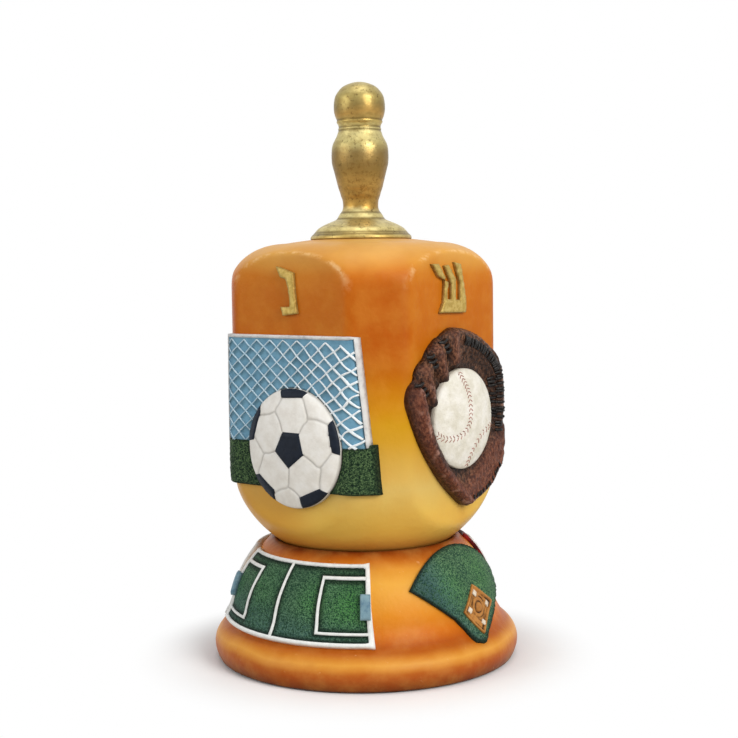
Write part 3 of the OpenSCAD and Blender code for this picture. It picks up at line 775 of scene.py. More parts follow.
def mitt_leather():
    """Dark glove leather: redder on the rolls and heel, painted shade near black in the creases, and a
    painted highlight along the rolls.
    """
    p = Paint("glove_leather_paint", 0.38, Specular_IOR_Level=0.15)
    grain = p.noise(0.62, 5, 0.7, (1.0, 1.0, 0.6))
    p.ground(p.band(grain, 0.34, 0.66), [(0.0, "#1C110C"), (0.5, "#523424"), (1.0, "#8C6248")])
    red = p.ramp(p.band(grain, 0.28, 0.72), [(0.0, "#3E1E16"), (0.5, "#683929"), (1.0, "#8E5841")])
    p.coat(p.attribute("warm"), red)
    # Painted shade in the creases, round the ball and under the lacing.
    p.coat(p.attribute("crease") * 0.85, "#120A08")
    # Painted highlight along the middle of each roll and finger.
    shine = p.cloud(0.52, 0.66, 2.6, 3, 0.6) * p.attribute("ridge")
    p.coat(shine * 0.6, "#C09484")
    return p.done(grain * 1.2 + p.noise(0.5, 3) * 0.4, 0.24, p.noise(2.2) * 0.3 + 0.18)


def cowhide_white():
    """Cream ball leather with a fine wrinkled grain, yellow-grey wash and painted shade round its rim."""
    p = Paint("ball_cream_paint", 0.5)
    p.ground(p.cloud(0.3, 0.7, 4.0, 4, 0.6), [(0.0, "#DDD8C8"), (0.5, "#EAE6DA"), (1.0, "#F3F0E8")])
    p.coat(p.cloud(0.58, 0.7, 0.8, 5, 0.8) * 0.35, "#B4AC98")
    # Painted shade round the ball's rim.
    p.coat(p.attribute("edge") * 0.5, "#A09078")
    return p.done(p.noise(1.2, 5, 0.75), 0.32)


def panelled_white():
    """Soccer-ball white with faint warm clouding, and painted shade in the seams and round the rim."""
    p = Paint("ball_white_paint", 0.45)
    p.ground(p.cloud(0.3, 0.7, 3.4, 4, 0.6), [(0.0, "#E4E0D8"), (0.5, "#ECE9E2"), (1.0, "#F1EFEA")])
    # Painted shade along the seams and round the ball's rim.
    p.coat(p.attribute("edge") * 0.65, "#8F8A82")
    return p.done(p.noise(1.6, 4, 0.6), 0.14)


def pebbled(name, deep, light, size, depth):
    """Pebbled game-ball leather."""
    p = Paint(name, 0.5)
    cells = p.specks(size)
    p.tone = light
    p.coat(p.band(cells, 0.25, 0.75) * 0.6, deep)
    p.coat(p.cloud(0.4, 0.75, 4, 4, 0.6) * 0.45, deep)
    return p.done(1.0 - p.band(cells, 0.0, 0.6), depth)


def steel(name):
    """Turned steel with fine rings."""
    p = Paint(name, 0.3, Metallic=1.0)
    rings = p.noise(0.5, 2, 0.5, (0.15, 0.15, 1.0))
    p.ground(rings, [(0.2, "#7C7C7A"), (0.8, "#B4B4B0")])
    return p.done(rings, 0.03)


def felt():
    """Dense dark felt."""
    p = Paint("felt_nap", 0.95)
    fibres = p.noise(0.35, 5, 0.8)
    p.ground(fibres, [(0.3, "#141817"), (0.7, "#2E3634")])
    return p.done(fibres, 0.2)


# A washed paint's numbers: roughness, amount of wash, and the size and depth of its unevenness in millimetres
BODY_PAINT = body_paint()
STAND_PAINT = stand_paint()
TURF = turf_paint("pitch_grass", "#1C3A2E", "#3E6449", "#6C9470", "#56A648")
STRIP_TURF = turf_paint("goal_grass", "#11221A", "#2E4A30", "#6C885A")
OUTFIELD = turf_paint("outfield_grass", "#21403A", "#477153", "#7CA479", "#6CB05E")
WHITE_LINE = washed_paint("line_white", "#EEEFEC", "#B9C2C0", 0.5, 0.35, 1.2, 0.12)
NET_WHITE = net_paint()
CORD_WHITE = washed_paint("cord_white", "#EDEEEC", "#B9BDBB", 0.5, 0.4, 0.9, 0.08)
FRAME_WHITE = washed_paint("goal_frame_white", "#DEDEDC", "#97989C", 0.45, 0.5, 1.8, 0.12)
# Its dark colour on the wash mark is the painted shadow of the net's strands.
NET_BLUE = washed_paint("net_blue", "#77A6BF", "#56839F", 0.55, 0.6, 2.4, 0.15, "wash", "#3E5A60")
GOAL_BLUE = washed_paint("small_goal_blue", "#84A2AC", "#4E7088", 0.5, 0.7, 1.4, 0.15)
DIRT = washed_paint("infield_dirt", "#BE8444", "#8E5426", 0.45, 0.5, 1.0, 0.15, "wash", "#2C180C", 1.3)
BAG = washed_paint("base_pearl", "#E6DAC6", "#B09880", 0.4, 0.4, 0.8, 0.08)
COURT_RED = washed_paint("court_red", "#8E1C1A", "#5A0E10", 0.42, 0.5, 3.0, 0.12, "wash", "#34080A", 0.95)
WOOD_FLOOR = washed_paint("court_wood", "#C08A50", "#8A5426", 0.45, 0.5, 2.0, 0.12)
NAVY = washed_paint("patch_navy", "#1D2430", "#0E1218", 0.42, 0.5, 2.0, 0.15)
LACE_BLACK = washed_paint("lace_black", "#1A1512", "#070606", 0.32, 0.5, 0.8, 0.1, Specular_IOR_Level=0.2)
STITCH_RED = washed_paint("stitch_red", "#B0786C", "#6E5244", 0.6, 0.5, 1.2, 0.05)
RIM_ORANGE = washed_paint("rim_orange", "#C8481C", "#8A2A10", 0.4, 0.4, 1.4, 0.08)
POST_YELLOW = washed_paint("post_yellow", "#E2B034", "#A9741A", 0.4, 0.5, 1.4, 0.08)
BOARD_WHITE = washed_paint("board_white", "#E6E4DE", "#B4B2AC", 0.45, 0.4, 2.6, 0.1)
BRASS = antique_brass()
GOLD = gold_letter()
LEATHER = mitt_leather()
CREAM = cowhide_white()
PANEL_WHITE = panelled_white()
PIGSKIN = pebbled("football_leather", "#40210F", "#6E3B20", 0.6, 0.12)
BALL_ORANGE = pebbled("basketball_leather", "#8A3E16", "#BC6228", 0.6, 0.12)
STEEL = steel("turned_steel")
FELT = felt()


# Stand

def stand_shade(r, z, angle, cap):
    """Darker paint in the crease and under the lip."""
    return 0.45 * bell(z - CREASE.y, 1.2) if r > LIP_R else 0.6


PAD_R = FOOT_R - 2.15
PAD_ROOM = 0.6
DISH_GAP = 0.4
dish_rows = [LIP_R - back for back in rising(LIP_R - WELL_R, 14)]
DISH = [(r, BELLY_Z - BELLY_DROP * math.sqrt(1 - (r / SHOULDER_R) ** 2) - DISH_GAP) for r in dish_rows]
FOOT_Z = STAND_LOW.z
FOOT_EDGE = [(0, FOOT_Z + PAD_ROOM), (PAD_R, FOOT_Z + PAD_ROOM), (PAD_R, FOOT_Z), (FOOT_R - 0.3, FOOT_Z)]
STAND_PROFILE = (FOOT_EDGE + [tuple(p) for p in FLANK] + [(LIP_R, LIP_Z)] + DISH[1:]
                 + [(WELL_R, WELL_Z), (0, WELL_Z)])
bell_mesh = turned("stand_bell", STAND_PROFILE, 200, marks={"shade": stand_shade})
new_piece(bell_mesh, STAND_PAINT, "stand", "stand_resin", "stand_base")

PAD_TOP = box_mm("felt_pad")[1].z - 0.01
pad_profile = [(0, 0), (PAD_R - 0.35, 0), (PAD_R - 0.08, 0.12), (PAD_R - 0.04, 0.5), (PAD_R - 0.05, PAD_TOP),
               (0, PAD_TOP)]
new_piece(turned("felt_disc", pad_profile, 160), FELT, "stand", "pad_felt", "felt_pad")


# Fields on the stand; across is in degrees round the flank

DEG = 1 / (BEAD_R * 0.83) * 180 / math.pi
FIELD_Z0, FIELD_Z1 = LIP_Z * 0.32, LIP_Z * 0.917
FIELD_ZM = (FIELD_Z0 + FIELD_Z1) / 2
FIELD_GAP = 5.2
PITCH_A, GRIDIRON_A, PARK_A = -91.2, 180.0, -2.0
FIELD_HALF = (PITCH_A + 360 - GRIDIRON_A - FIELD_GAP) / 2
BORDER, LINE, LINE_FOOT = 1.25, 0.9, 0.7
BOX_HALF = (FIELD_Z1 - FIELD_Z0) / 2 * 0.66
BOX_DEEP = 11.0
GOAL_DEEP, GOAL_HALF = 2.4, 2.6
SIDES = (-1, 1)


def box_at(x0, x1, z0, z1):
    return [(x0, z0), (x1, z0), (x1, z1), (x0, z1)]


def open_box(outer, inner, half, zm=FIELD_ZM):
    """Three sides of a box that stands against a field's end."""
    return [(outer, zm - half), (inner, zm - half), (inner, zm + half), (outer, zm + half)]


def field_rectangle(inset):
    x = FIELD_HALF - inset * DEG
    return box_at(-x, x, FIELD_Z0 + inset, FIELD_Z1 - inset)


def cross_line(x):
    return [(x, FIELD_Z0 + BORDER * 0.7), (x, FIELD_Z1 - BORDER * 0.7)]


def grass_top(x, y):
    return 1.0 + 0.13 * lumps(x / DEG, y, 1.1) + 0.078 * lumps(x / DEG, y, 0.495, 5.0)


def bright_spots(spots, across=DEG):
    """Gives a mark from spots of (x, y, width, strength)."""
    return lambda x, y: max(s[3] * bell(math.hypot((x - s[0]) / across, y - s[1]), s[2]) for s in spots)


def border_width(x, y):
    """The border is thin along the top, wide at both ends."""
    rise = (y - FIELD_ZM) / (FIELD_Z1 - FIELD_ZM)
    if abs(x) > FIELD_HALF / DEG - BORDER:
        return BORDER
    return BORDER * (0.55 if rise > 0.85 else 0.72)


def pitch_lean(x, y):
    """The soccer pitch narrows upwards: its ends are drawn in above and spread a little below."""
    side, rise = x / FIELD_HALF, (y - FIELD_ZM) / (FIELD_Z1 - FIELD_ZM)
    if rise > 0:
        shift = rise * (1.2 * (1 - side) + max(-side, 0) ** 2)
    else:
        shift = -rise * (side * (1.3 if side > 0 else 0.4) - 0.6)
    return x + shift * DEG, y


def low_glaze(x, y):
    """Blue glaze, thickest low on the field and towards its left end."""
    return 0.5 * fade(FIELD_ZM - y - x / 12, -1, 6)


def field(prefix, angle, inner, turf_node, line_node, spots, lean=lambda x, y: (x, y)):
    """Turf with a raised border and inner lines."""
    flank_place = on_flank(angle)

    def place(x, y, height):
        return flank_place(*lean(x, y), height)

    rim = field_rectangle(BORDER / 2)
    outline = walk(field_rectangle(BORDER * 0.6), 2.0, True, DEG)
    marks = {"edge": beside([looped(rim)] + inner, 0.75, 1.5, 1.0, DEG), "heart": bright_spots(spots),
             "cool": low_glaze}
    ground = relief(prefix + "_grass", [outline], place, grass_top, bevel=0.1, step=0.55, marks=marks,
                    scale=DEG)
    new_piece(ground, TURF, "stand", "turf_paint", turf_node)
    border = walk(rim, 1.2, True, DEG)
    inner_paths = [walk(line, 1.0, False, DEG) for line in inner]
    lines = [ribbon(prefix, [border], place, border_width, top=1.38, bottom=-0.2, closed=True, scale=DEG),
             ribbon(prefix, inner_paths, place, LINE * 0.75, top=1.33, bottom=LINE_FOOT, scale=DEG)]
    new_piece(joined(prefix + "_markings", lines), WHITE_LINE, "stand", "line_paint", line_node)


half_in = FIELD_HALF - BORDER * DEG
pitch_boxes = [open_box(side * (half_in + 0.3 * DEG), side * (half_in - BOX_DEEP * DEG), BOX_HALF)
               for side in SIDES]
pitch_spots = [(FIELD_HALF * 0.78, FIELD_ZM, 5.0, 1.0), (FIELD_HALF * 0.42, FIELD_ZM + 1, 4.0, 0.8),
               (-FIELD_HALF * 0.3, FIELD_ZM, 6.0, 0.4), (-FIELD_HALF * 0.8, FIELD_ZM, 4.0, 0.5)]
field("pitch", PITCH_A, [cross_line(0)] + pitch_boxes, "pitch_turf", "pitch_lines", pitch_spots, pitch_lean)

yards = [cross_line(x - half_in) for x in rising(2 * half_in, 10)[1:-1]]
gridiron_spots = [(0, FIELD_ZM, 9.0, 0.8), (-FIELD_HALF * 0.6, FIELD_ZM, 6.0, 0.4)]
field("gridiron", GRIDIRON_A, yards, "gridiron_turf", "yard_lines", gridiron_spots)


def small_goal_top(x, y):
    """Sloping back and a shallow dent for the goal's mouth."""
    depth = (FIELD_HALF - abs(x)) / DEG / GOAL_DEEP
    return 2.2 + 0.35 * min(depth, 1.0) - 0.25 * bell(y - FIELD_ZM, 1.5) * fade(depth, 0.3, 0.8)


goal_boxes = [box_at(side * (FIELD_HALF - 2.45 * DEG), side * (FIELD_HALF - 0.15 * DEG),
                     FIELD_ZM - GOAL_HALF, FIELD_ZM + GOAL_HALF) for side in SIDES]
small_goals = relief("pitch_small_goals", goal_boxes, on_flank(PITCH_A), small_goal_top, bevel=0.25,
                     step=0.45, bottom=flat_at(0.9), scale=DEG)
new_piece(small_goals, GOAL_BLUE, "stand", "goal_blue", "pitch_goals")


# Ballpark on the stand; across is in millimetres seen from outside

park = on_flank(PARK_A, True)
PARK_MID, PARK_R = Vector((1.8, 6.3)), 22.8
PARK_RIGHT = [(-2.3, 8.3), (0.2, 7.7), (2.5, 8.7), (6.4, 10.5), (10.6, 12.7), (14.7, 15.3), (18.2, 17.6)]
PARK_LEFT = [(-11.1, 18.2), (-5.7, 13.8), (-3.7, 11.1)]
park_outline = ([Vector(p) for p in PARK_RIGHT] + arc(PARK_MID, PARK_R, PARK_R, 36, 137.8, 40)
                + [Vector(p) for p in PARK_LEFT])
park_rim = looped(park_outline)
park_foot = [Vector(q) for q in PARK_LEFT + PARK_RIGHT[:1]]


def park_top(x, y):
    """Mowing grooves run one way across the outfield."""
    groove = math.sin((x * 0.62 + y) * 5.4) * 0.05
    rim = 0.16 * bell(nearest(x, y, park_rim), 0.28)
    return 1.0 + groove + rim + 0.09 * lumps(x, y, 1.0) + 0.06 * lumps(x, y, 0.5, 5.0)


def park_edge(x, y):
    """Dark wash over the rim, and over the corner that lies lowest on the left."""
    return max(0.95 * fade(nearest(x, y, park_rim), 0.8, 0.2), 0.3 * fade(-x - 0.35 * (y - 21), 6, 14))


def park_cool(x, y):
    """Blue glaze over the left corner and along the lower left edge."""
    return max(fade(-x - 0.3 * (y - 20), 1, 10), 0.7 * fade(nearest(x, y, park_foot), 3.5, 0.5))


park_heart = bright_spots([(-5.5, 20, math.sqrt(22), 1.0), (8, 22, math.sqrt(30), 0.9)], 1)
park_marks = {"edge": park_edge, "heart": park_heart, "cool": park_cool}
outfield = relief("outfield_grass", [park_outline], park, park_top, bevel=0.25, step=0.5, marks=park_marks)
new_piece(outfield, OUTFIELD, "stand", "outfield_paint", "ballpark_turf")

MOUND = Vector((2.4, 15.3))
INFIELD = [Vector(p) for p in ((1.9, 20.5), (-3.3, 15.2), (1.05, 8.9), (9.1, 15.5))]
BAG_SPOTS = [Vector(p) for p in ((1.8, 18.6), (-1.2, 15.3), (2.6, 11.5), (6.1, 15.4))]
BAG_R = 0.8
RING_RADII = (1.35, 2.5)


def infield_top(x, y):
    """Raised border, a round mound and rings cut round it."""
    border = 0.28 * fade(nearest(x, y, looped(INFIELD)), 0.65, 0.4)
    mound = 0.4 * fade(away(x, y, MOUND), 1.3, 0.7)
    return 1.28 + border + mound - 0.22 * infield_wash(x, y) + 0.04 * lumps(x, y, 0.8)


def infield_wash(x, y):
    """Dark paint in the rings, along the border and from bag to bag."""
    r = away(x, y, MOUND)
    rings = max(bell(r - ring, 0.17) for ring in RING_RADII)
    inside = bell(nearest(x, y, looped(INFIELD)) - 0.75, 0.2)
    paths = bell(nearest(x, y, looped(BAG_SPOTS)), 0.2) * (r > 2.7)
    return max(rings, inside, 0.7 * paths)


infield = relief("infield_dirt", [walk(INFIELD, 1.0, True)], park, infield_top, bevel=0.15, step=0.2,
                 bottom=flat_at(0.8), marks={"wash": infield_wash})
new_piece(infield, DIRT, "stand", "dirt_paint", "infield_diamond")
bag_mesh = relief("infield_bags", [arc(spot, BAG_R, BAG_R, 0, 270, 3) for spot in BAG_SPOTS], park,
                  lambda x, y: 1.62 + 0.03 * lumps(x, y, 0.5), bevel=0.16, step=0.3, bottom=flat_at(1.1))
new_piece(bag_mesh, BAG, "stand", "line_paint", "base_bags")


# Court on the stand, between the ballpark's tip and the gridiron

PARK_TIP = PARK_A + math.degrees(math.asin(20 / (BEAD_R * 0.775)))
COURT_START = PARK_TIP + FIELD_GAP / 3
COURT_END = GRIDIRON_A - FIELD_HALF - FIELD_GAP
COURT_A, COURT_HALF = (COURT_START + COURT_END) / 2, (COURT_END - COURT_START) / 2
COURT_Z0, COURT_Z1 = FIELD_Z0 + BORDER, LIP_Z * 0.965
COURT_ZM = (COURT_Z0 + COURT_Z1) / 2
COURT_SIDE, COURT_FOOT = 1.9, 1.95
KEY_DEEP, KEY_HALF = 7.2, 2.55
KEY_R, CENTRE_R = 2.5, 2.6
SLANT_FOOT, SLANT_RISE = 9.5, 12.5
court_flank = on_flank(COURT_A)


def court(x, y, height):
    """The end next to the ballpark slants: its foot starts later than its top."""
    near, rise = (COURT_HALF - x) / (2 * COURT_HALF), (y - COURT_Z0) / (COURT_Z1 - COURT_Z0)
    return court_flank(x + near * (SLANT_FOOT - SLANT_RISE * rise), y, height)


def court_top(x, y):
    """Boards as shallow grooves."""
    board = abs((y / 1.55) % 1 - 0.5)
    return 1.0 - 0.09 * fade(board, 0.44, 0.5) + 0.03 * lumps(x / DEG, y, 3.0)


court_edges = box_at(-COURT_HALF, COURT_HALF, COURT_Z0, COURT_Z1)
court_marks = {"wash": beside([looped(court_edges)], 0.375, 0.75, 1.0, DEG)}
floor_mesh = relief("court_boards", [walk(court_edges, 2.0, True, DEG)], court, court_top, bevel=0.2,
                    step=0.5, marks=court_marks, scale=DEG)
new_piece(floor_mesh, COURT_RED, "stand", "court_red", "court_floor")

court_x = COURT_HALF - COURT_SIDE * DEG
court_z0, court_z1 = COURT_Z0 + COURT_FOOT, COURT_Z1 - COURT_FOOT
court_rim = walk(box_at(-court_x, court_x, court_z0, court_z1), 1.2, True, DEG)
court_inner = [walk([(0, court_z0), (0, court_z1)], 1.0, False, DEG)]
for side in SIDES:
    key = side * (court_x - KEY_DEEP * DEG)
    court_inner.append(walk(open_box(side * court_x, key, KEY_HALF, COURT_ZM), 1.0, False, DEG))
    court_inner.append(arc((key, COURT_ZM), -side * KEY_R * DEG, KEY_R, 90, -90, 15))
centre_ring = arc((0, COURT_ZM), CENTRE_R * DEG, CENTRE_R, 0, 348, 29)
court_ribbons = [
    ribbon("court", [court_rim], court, LINE, top=1.34, bottom=LINE_FOOT, closed=True, scale=DEG),
    ribbon("court", court_inner, court, LINE * 0.9, top=1.30, bottom=LINE_FOOT, scale=DEG),
    ribbon("court", [centre_ring], court, LINE * 0.9, top=1.27, bottom=LINE_FOOT, closed=True, scale=DEG)]
new_piece(joined("court_markings", court_ribbons), WHITE_LINE, "stand", "line_paint", "court_lines")


# Body, handle and point

def body_profile():
    crown = bow((FLANGE_R - 1.0, CROWN_Z), (CROWN_R - 0.5, CROWN_Z - CROWN_RISE * 0.94), 0.05, 8)
    shoulder = arc((CROWN_R, SHOULDER_Z), SHOULDER_R - CROWN_R, SHOULDER_RISE, 90, 0, 26)
    wall = [Vector((SHOULDER_R, SHOULDER_Z - fall)) for fall in rising(SHOULDER_Z - BELLY_Z, 24)[1:-1]]
    belly_end = -math.degrees(math.acos(NUB_R / SHOULDER_R))
    belly = arc((0, BELLY_Z), SHOULDER_R, BELLY_DROP, 0, belly_end, 44)
    nub = bow(tuple(belly[-1]), (POINT_R, POINT_Z + 0.5), 0.9, 8)
    skin = [tuple(p) for p in crown + shoulder + wall + belly + nub[1:]]
    return [(0, CROWN_Z)] + skin + [(POINT_R, POINT_Z), (0, POINT_Z)]


def crown_rim(r, z, angle, cap):
    """Where the round crown meets a flat face."""
    if z < SHOULDER_Z - 1 or r < CROWN_R + 1:
        return 0.0
    return bell(r - cap, 0.4) * fade(from_face(angle), 0.62, 0.5)


def body_flat(r, z, angle, cap):
    """1 on the four flat sides, 0 on the corners between them."""
    end = math.atan2(SIDE_C, FACE_D)
    return fade(from_face(angle), end + 0.06, end - 0.03)


def body_shade(r, z, angle, cap):
    """Darker paint low on the belly and round the handle's flange."""
    low = fade(z, LIP_Z + 5.5, LIP_Z - 1.0)
    top = bell(r - FLANGE_R, 1.3) if z > CROWN_Z - 2 else 0.0
    return max(0.8 * low, 0.5 * top)


body_marks = {"rim": crown_rim, "flat": body_flat, "shade": body_shade}
body_mesh = turned("resin_body", body_profile(), 264, prism_radius, body_marks)
new_piece(body_mesh, BODY_PAINT, "dreidel", "body_resin", "dreidel_body")

HANDLE_POINTS = [
    (12.6, 104.35), (12.6, 104.9), (12.25, 105.35), (11.95, 105.62), (11.6, 106.0), (11.1, 106.6),
    (10.45, 107.2), (8.9, 108.05), (7.2, 108.75), (6.2, 109.2), (5.75, 109.75), (5.5, 110.2),
    (5.15, 110.75), (4.72, 111.3), (4.42, 112.1), (4.4, 113.1), (4.52, 114.1), (4.87, 115.1),
    (5.15, 116.1), (5.5, 117.1), (5.75, 118.1), (6.0, 119.1), (6.25, 120.1), (6.5, 121.1), (6.74, 122),
    (6.98, 123), (7.08, 124.2), (7.09, 125.2), (7.0, 126.7), (6.75, 127.8), (6.28, 128.8),
    (5.76, 129.8), (5.45, 130.7), (5.28, 131.15), (5.36, 131.55), (5.2, 131.95), (5.34, 132.6),
    (5.58, 133.0), (5.72, 133.3), (5.62, 133.7), (5.9, 134.4), (6.14, 135.1), (6.33, 136.1),
    (6.35, 137.4), (6.24, 138.5), (5.98, 139.6), (5.4, 140.6), (4.5, 141.65), (3.5, 142.3),
    (2.36, 142.75), (1.2, 143.05), (0, HANDLE_HIGH.z)]
GROOVES = (105.45, 105.95, 109.4, 110.9, 131.15, 131.95, 133.7)
handle_curve = smooth_through(HANDLE_POINTS, 3)
handle_profile = [(0, HANDLE_LOW.z)] + [(max(p.x, 0), min(p.y, HANDLE_HIGH.z)) for p in handle_curve]


def handle_groove(r, z, angle, cap):
    return max(bell(z - groove, 0.28) for groove in GROOVES)


handle_mesh = turned("brass_handle", handle_profile, 144, marks={"groove": handle_groove})
new_piece(handle_mesh, BRASS, "dreidel", "handle_brass", "handle")

TIP_LOW, TIP_HIGH = box_mm("tip_pin")
PIN_R = 1.5
nose_r = POINT_R / 4
nose_z = TIP_LOW.z + nose_r
cone = bow((POINT_R, POINT_Z - 0.98), (nose_r, nose_z), 0.28, 10)
nose = arc((0, nose_z), nose_r, nose_r, 0, -90, 6)
tip_profile = ([(0, TIP_HIGH.z), (PIN_R - 0.2, TIP_HIGH.z), (PIN_R, TIP_HIGH.z - 0.2), (PIN_R, POINT_Z - 0.3),
                (POINT_R - 0.15, POINT_Z - 0.3), (POINT_R, POINT_Z - 0.45)]
               + [tuple(p) for p in cone + nose[:-1]] + [(0, TIP_LOW.z)])
new_piece(turned("steel_point", tip_profile, 96), STEEL, "dreidel", "point_steel", "tip_pin")
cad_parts["handle_stud"].material_slots[0].material = STEEL


# Letters, one on each face, raised a millimetre

LETTERS = {
    "nun": [[(-3.1, 97.8), (-2, 97.6), (2.2, 96.3), (2.4, 92.5), (3.2, 86.7), (-1.1, 86.2), (-1.8, 88.3),
             (1.2, 88.35), (0.7, 92.5), (-0.1, 94.8), (-1.8, 95.25)]],
    "shin": [[(-9.6, 97.9), (-7, 97.9), (-4.5, 95), (-4.9, 89.1), (-6.4, 86.4), (4, 86.2), (4.4, 88.8),
              (2.2, 97.8), (-0.4, 98.3), (1.8, 93.2), (1.7, 89.3), (-0.1, 89.4), (-0.1, 94.5), (-3, 97.65),
              (-4.5, 97.45), (-1.9, 93.2), (-2, 89.4), (-3.7, 89.7), (-3.2, 93.6), (-7, 95)]],
    "hei": [[(-4.6, 98.0), (-3.9, 95.5), (2.3, 95.5), (2.3, 86.4), (4.9, 86.2), (4.9, 97.9)],
            [(-3.9, 93.6), (-1.5, 93.2), (-1.9, 86.4), (-4.4, 86.4)]],
    "gimel": [[(-2.6, 98.0), (-1.9, 95.6), (0.4, 95.6), (0.2, 91.6), (-3.9, 87.9), (-3.5, 86.2), (0.9, 88.9),
               (1.2, 86.3), (3.5, 86.3), (3.0, 97.7)]]}


def letter_top(x, y):
    return 1.0 + 0.06 * lumps(x, y, 1.5)


for side, (word, outlines) in enumerate(LETTERS.items()):
    rims = [walk(outline, 0.7, True) for outline in outlines]
    rubbed = {"edge": beside([looped(rim) for rim in rims], 0.1, 0.45)}
    letter = relief("letter_" + word, rims, on_face(side), letter_top, bevel=0.22, step=0.4, marks=rubbed)
    new_piece(letter, GOLD, "dreidel", "handle_brass")


# Soccer face

front = on_face(0)
GOAL_Z0, GOAL_Z1 = 56.0, 81.7
GOAL_FOOT, GOAL_LEAN = 21.4, 1.6
TURF_Z = 45.2
BALL = Vector((2.2, 55.1))
BALL_R, BALL_T = 14.3, 4.0
BALL_CUT = BALL_R + 0.05
MESH_STEP, MESH_ACROSS, MESH_DOWN = 4.2, 0.775, 0.64


def goal_side(z):
    """Half width of the goal at height z."""
    return GOAL_FOOT - GOAL_LEAN * (z - GOAL_Z0) / (GOAL_Z1 - GOAL_Z0)


def ball_cut(z, side):
    return BALL.x + side * math.sqrt(max(BALL_CUT ** 2 - (z - BALL.y) ** 2, 0))


def strand_spot(i, s, lean):
    """A place on one strand, at s along it. The mesh sags and grows uneven towards the right post."""
    x = i * MESH_STEP - 0.8 + lean * s * MESH_ACROSS
    z = GOAL_Z1 - 1.2 - s * MESH_DOWN
    far = max(x / 20, 0) ** 2
    x += 0.6 * lumps(s, i * 3.1 + lean, 4.0) * (0.4 + far) + 0.9 * far
    z += 0.7 * lumps(s, i * 2.3 - lean, 4.5) * (0.4 + far) - 1.6 * far
    return Vector((x, z))


def in_goal(spot):
    inside = -goal_side(spot.y) + 0.5 < spot.x < goal_side(spot.y) + 0.15 and spot.y > GOAL_Z0 - 0.2
    return inside and (spot - BALL).length > BALL_R - 0.5


def stretches(path, keep, least):
    """The runs of a path's points that are kept, each at least so many points long."""
    runs = [[]]
    for spot in path:
        if keep(spot):
            runs[-1].append(spot)
        else:
            runs.append([])
    return [run for run in runs if len(run) >= least]


strand_paths = []
for lean in SIDES:
    for i in range(-11, 12):
        strand_paths += stretches([strand_spot(i, j * 0.6, lean) for j in range(70)], in_goal, 3)

cut_turn = math.degrees(math.asin((GOAL_Z0 - BALL.y) / BALL_CUT))
panel_outline = ([Vector((-20.9, GOAL_Z0)), Vector((ball_cut(GOAL_Z0, -1), GOAL_Z0))]
                 + arc(BALL, BALL_CUT, BALL_CUT, 180 - cut_turn, cut_turn, 28)[1:]
                 + [Vector((21.1, GOAL_Z0)), Vector((19.4, GOAL_Z1 - 0.6)), Vector((-19.4, GOAL_Z1 - 0.6))])
# Painted shadow of the net: the strands' paths moved a little right and down, darkening the backing beside
# them.
strand_shadow_paths = [[p + Vector((0.28, -0.42)) for p in path[::3]] + [path[-1]] for path in strand_paths]


def panel_top(x, y):
    return 1.0 + 0.1 * lumps(x, y, 2.2) + 0.05 * lumps(x, y, 0.9)


# The backing's wash mark is this painted shadow of the strands.
panel = relief("net_backing", [walk(panel_outline, 2.5, True)], front, panel_top, bevel=0.1, step=0.42,
               marks={"wash": beside(strand_shadow_paths, 0.1, 0.75)})
new_piece(panel, NET_BLUE, "dreidel", "goal_blue", "goal_panel")


def strand_width(x, y):
    return 0.27 + 0.1 * lumps(x, y, 1.6, 4.0) + fade(x, 5, 19) * (0.2 + 0.3 * lumps(x, y, 2.6, 7.0))


net = ribbon("net_strands", strand_paths, front, strand_width, top=1.3, bottom=0.8, uneven=0.08)
new_piece(net, NET_WHITE, "dreidel", "line_paint", "goal_net")

BAR_Z = GOAL_Z1 - 0.46
POST_X = (-19.4, 19.85)
bar = walk([(POST_X[0], BAR_Z), (POST_X[1], BAR_Z)], 1.5)
post_left = walk([(-21.0, GOAL_Z0 - 0.6), (POST_X[0], BAR_Z)], 1.5)
post_right = walk([(POST_X[1], BAR_Z), (21.7, GOAL_Z0 + 0.2)], 1.5)


def frame_width(x, y):
    if y > GOAL_Z1 - 0.8 and abs(x) < 19.2:
        return 0.85
    return 0.42 if x > 0 else 0.8


bars = post_left + bar[1:-1] + post_right
goal_frame = ribbon("goal_bars", [bars], front, frame_width, top=1.3, uneven=0.07)
new_piece(goal_frame, FRAME_WHITE, "dreidel", "line_paint", "goal_frame")


def turf_side(side):
    """Turf beside the ball, up to the goal's foot, with a small step outside the post."""
    edge = [(ball_cut(z, side), z) for z in [TURF_Z + rise for rise in rising(GOAL_Z0 - TURF_Z, 10)]]
    step_z = GOAL_Z0 + 0.8
    outer = [(side * 21.3, GOAL_Z0), (side * 21.4, step_z), (side * 22.7, step_z), (side * 23.3, TURF_Z)]
    shape = walk(edge + outer, 1.6, True)
    return shape if side > 0 else shape[::-1]


def goal_grass_top(x, y):
    """Short upright blades."""
    return 1.12 + 0.2 * (lumps(x, y, 0.55) + 0.6 * lumps(x * 1.4, y * 0.5, 0.5, 7.0))


turf_parts = [turf_side(side) for side in SIDES]
turf_edge = {"edge": beside([looped(part) for part in turf_parts], 0.1, 0.6, 0.8)}
strip = relief("goal_grass", turf_parts, front, goal_grass_top, bevel=0.25, step=0.38, marks=turf_edge)
new_piece(strip, STRIP_TURF, "dreidel", "turf_paint", "turf_strip")

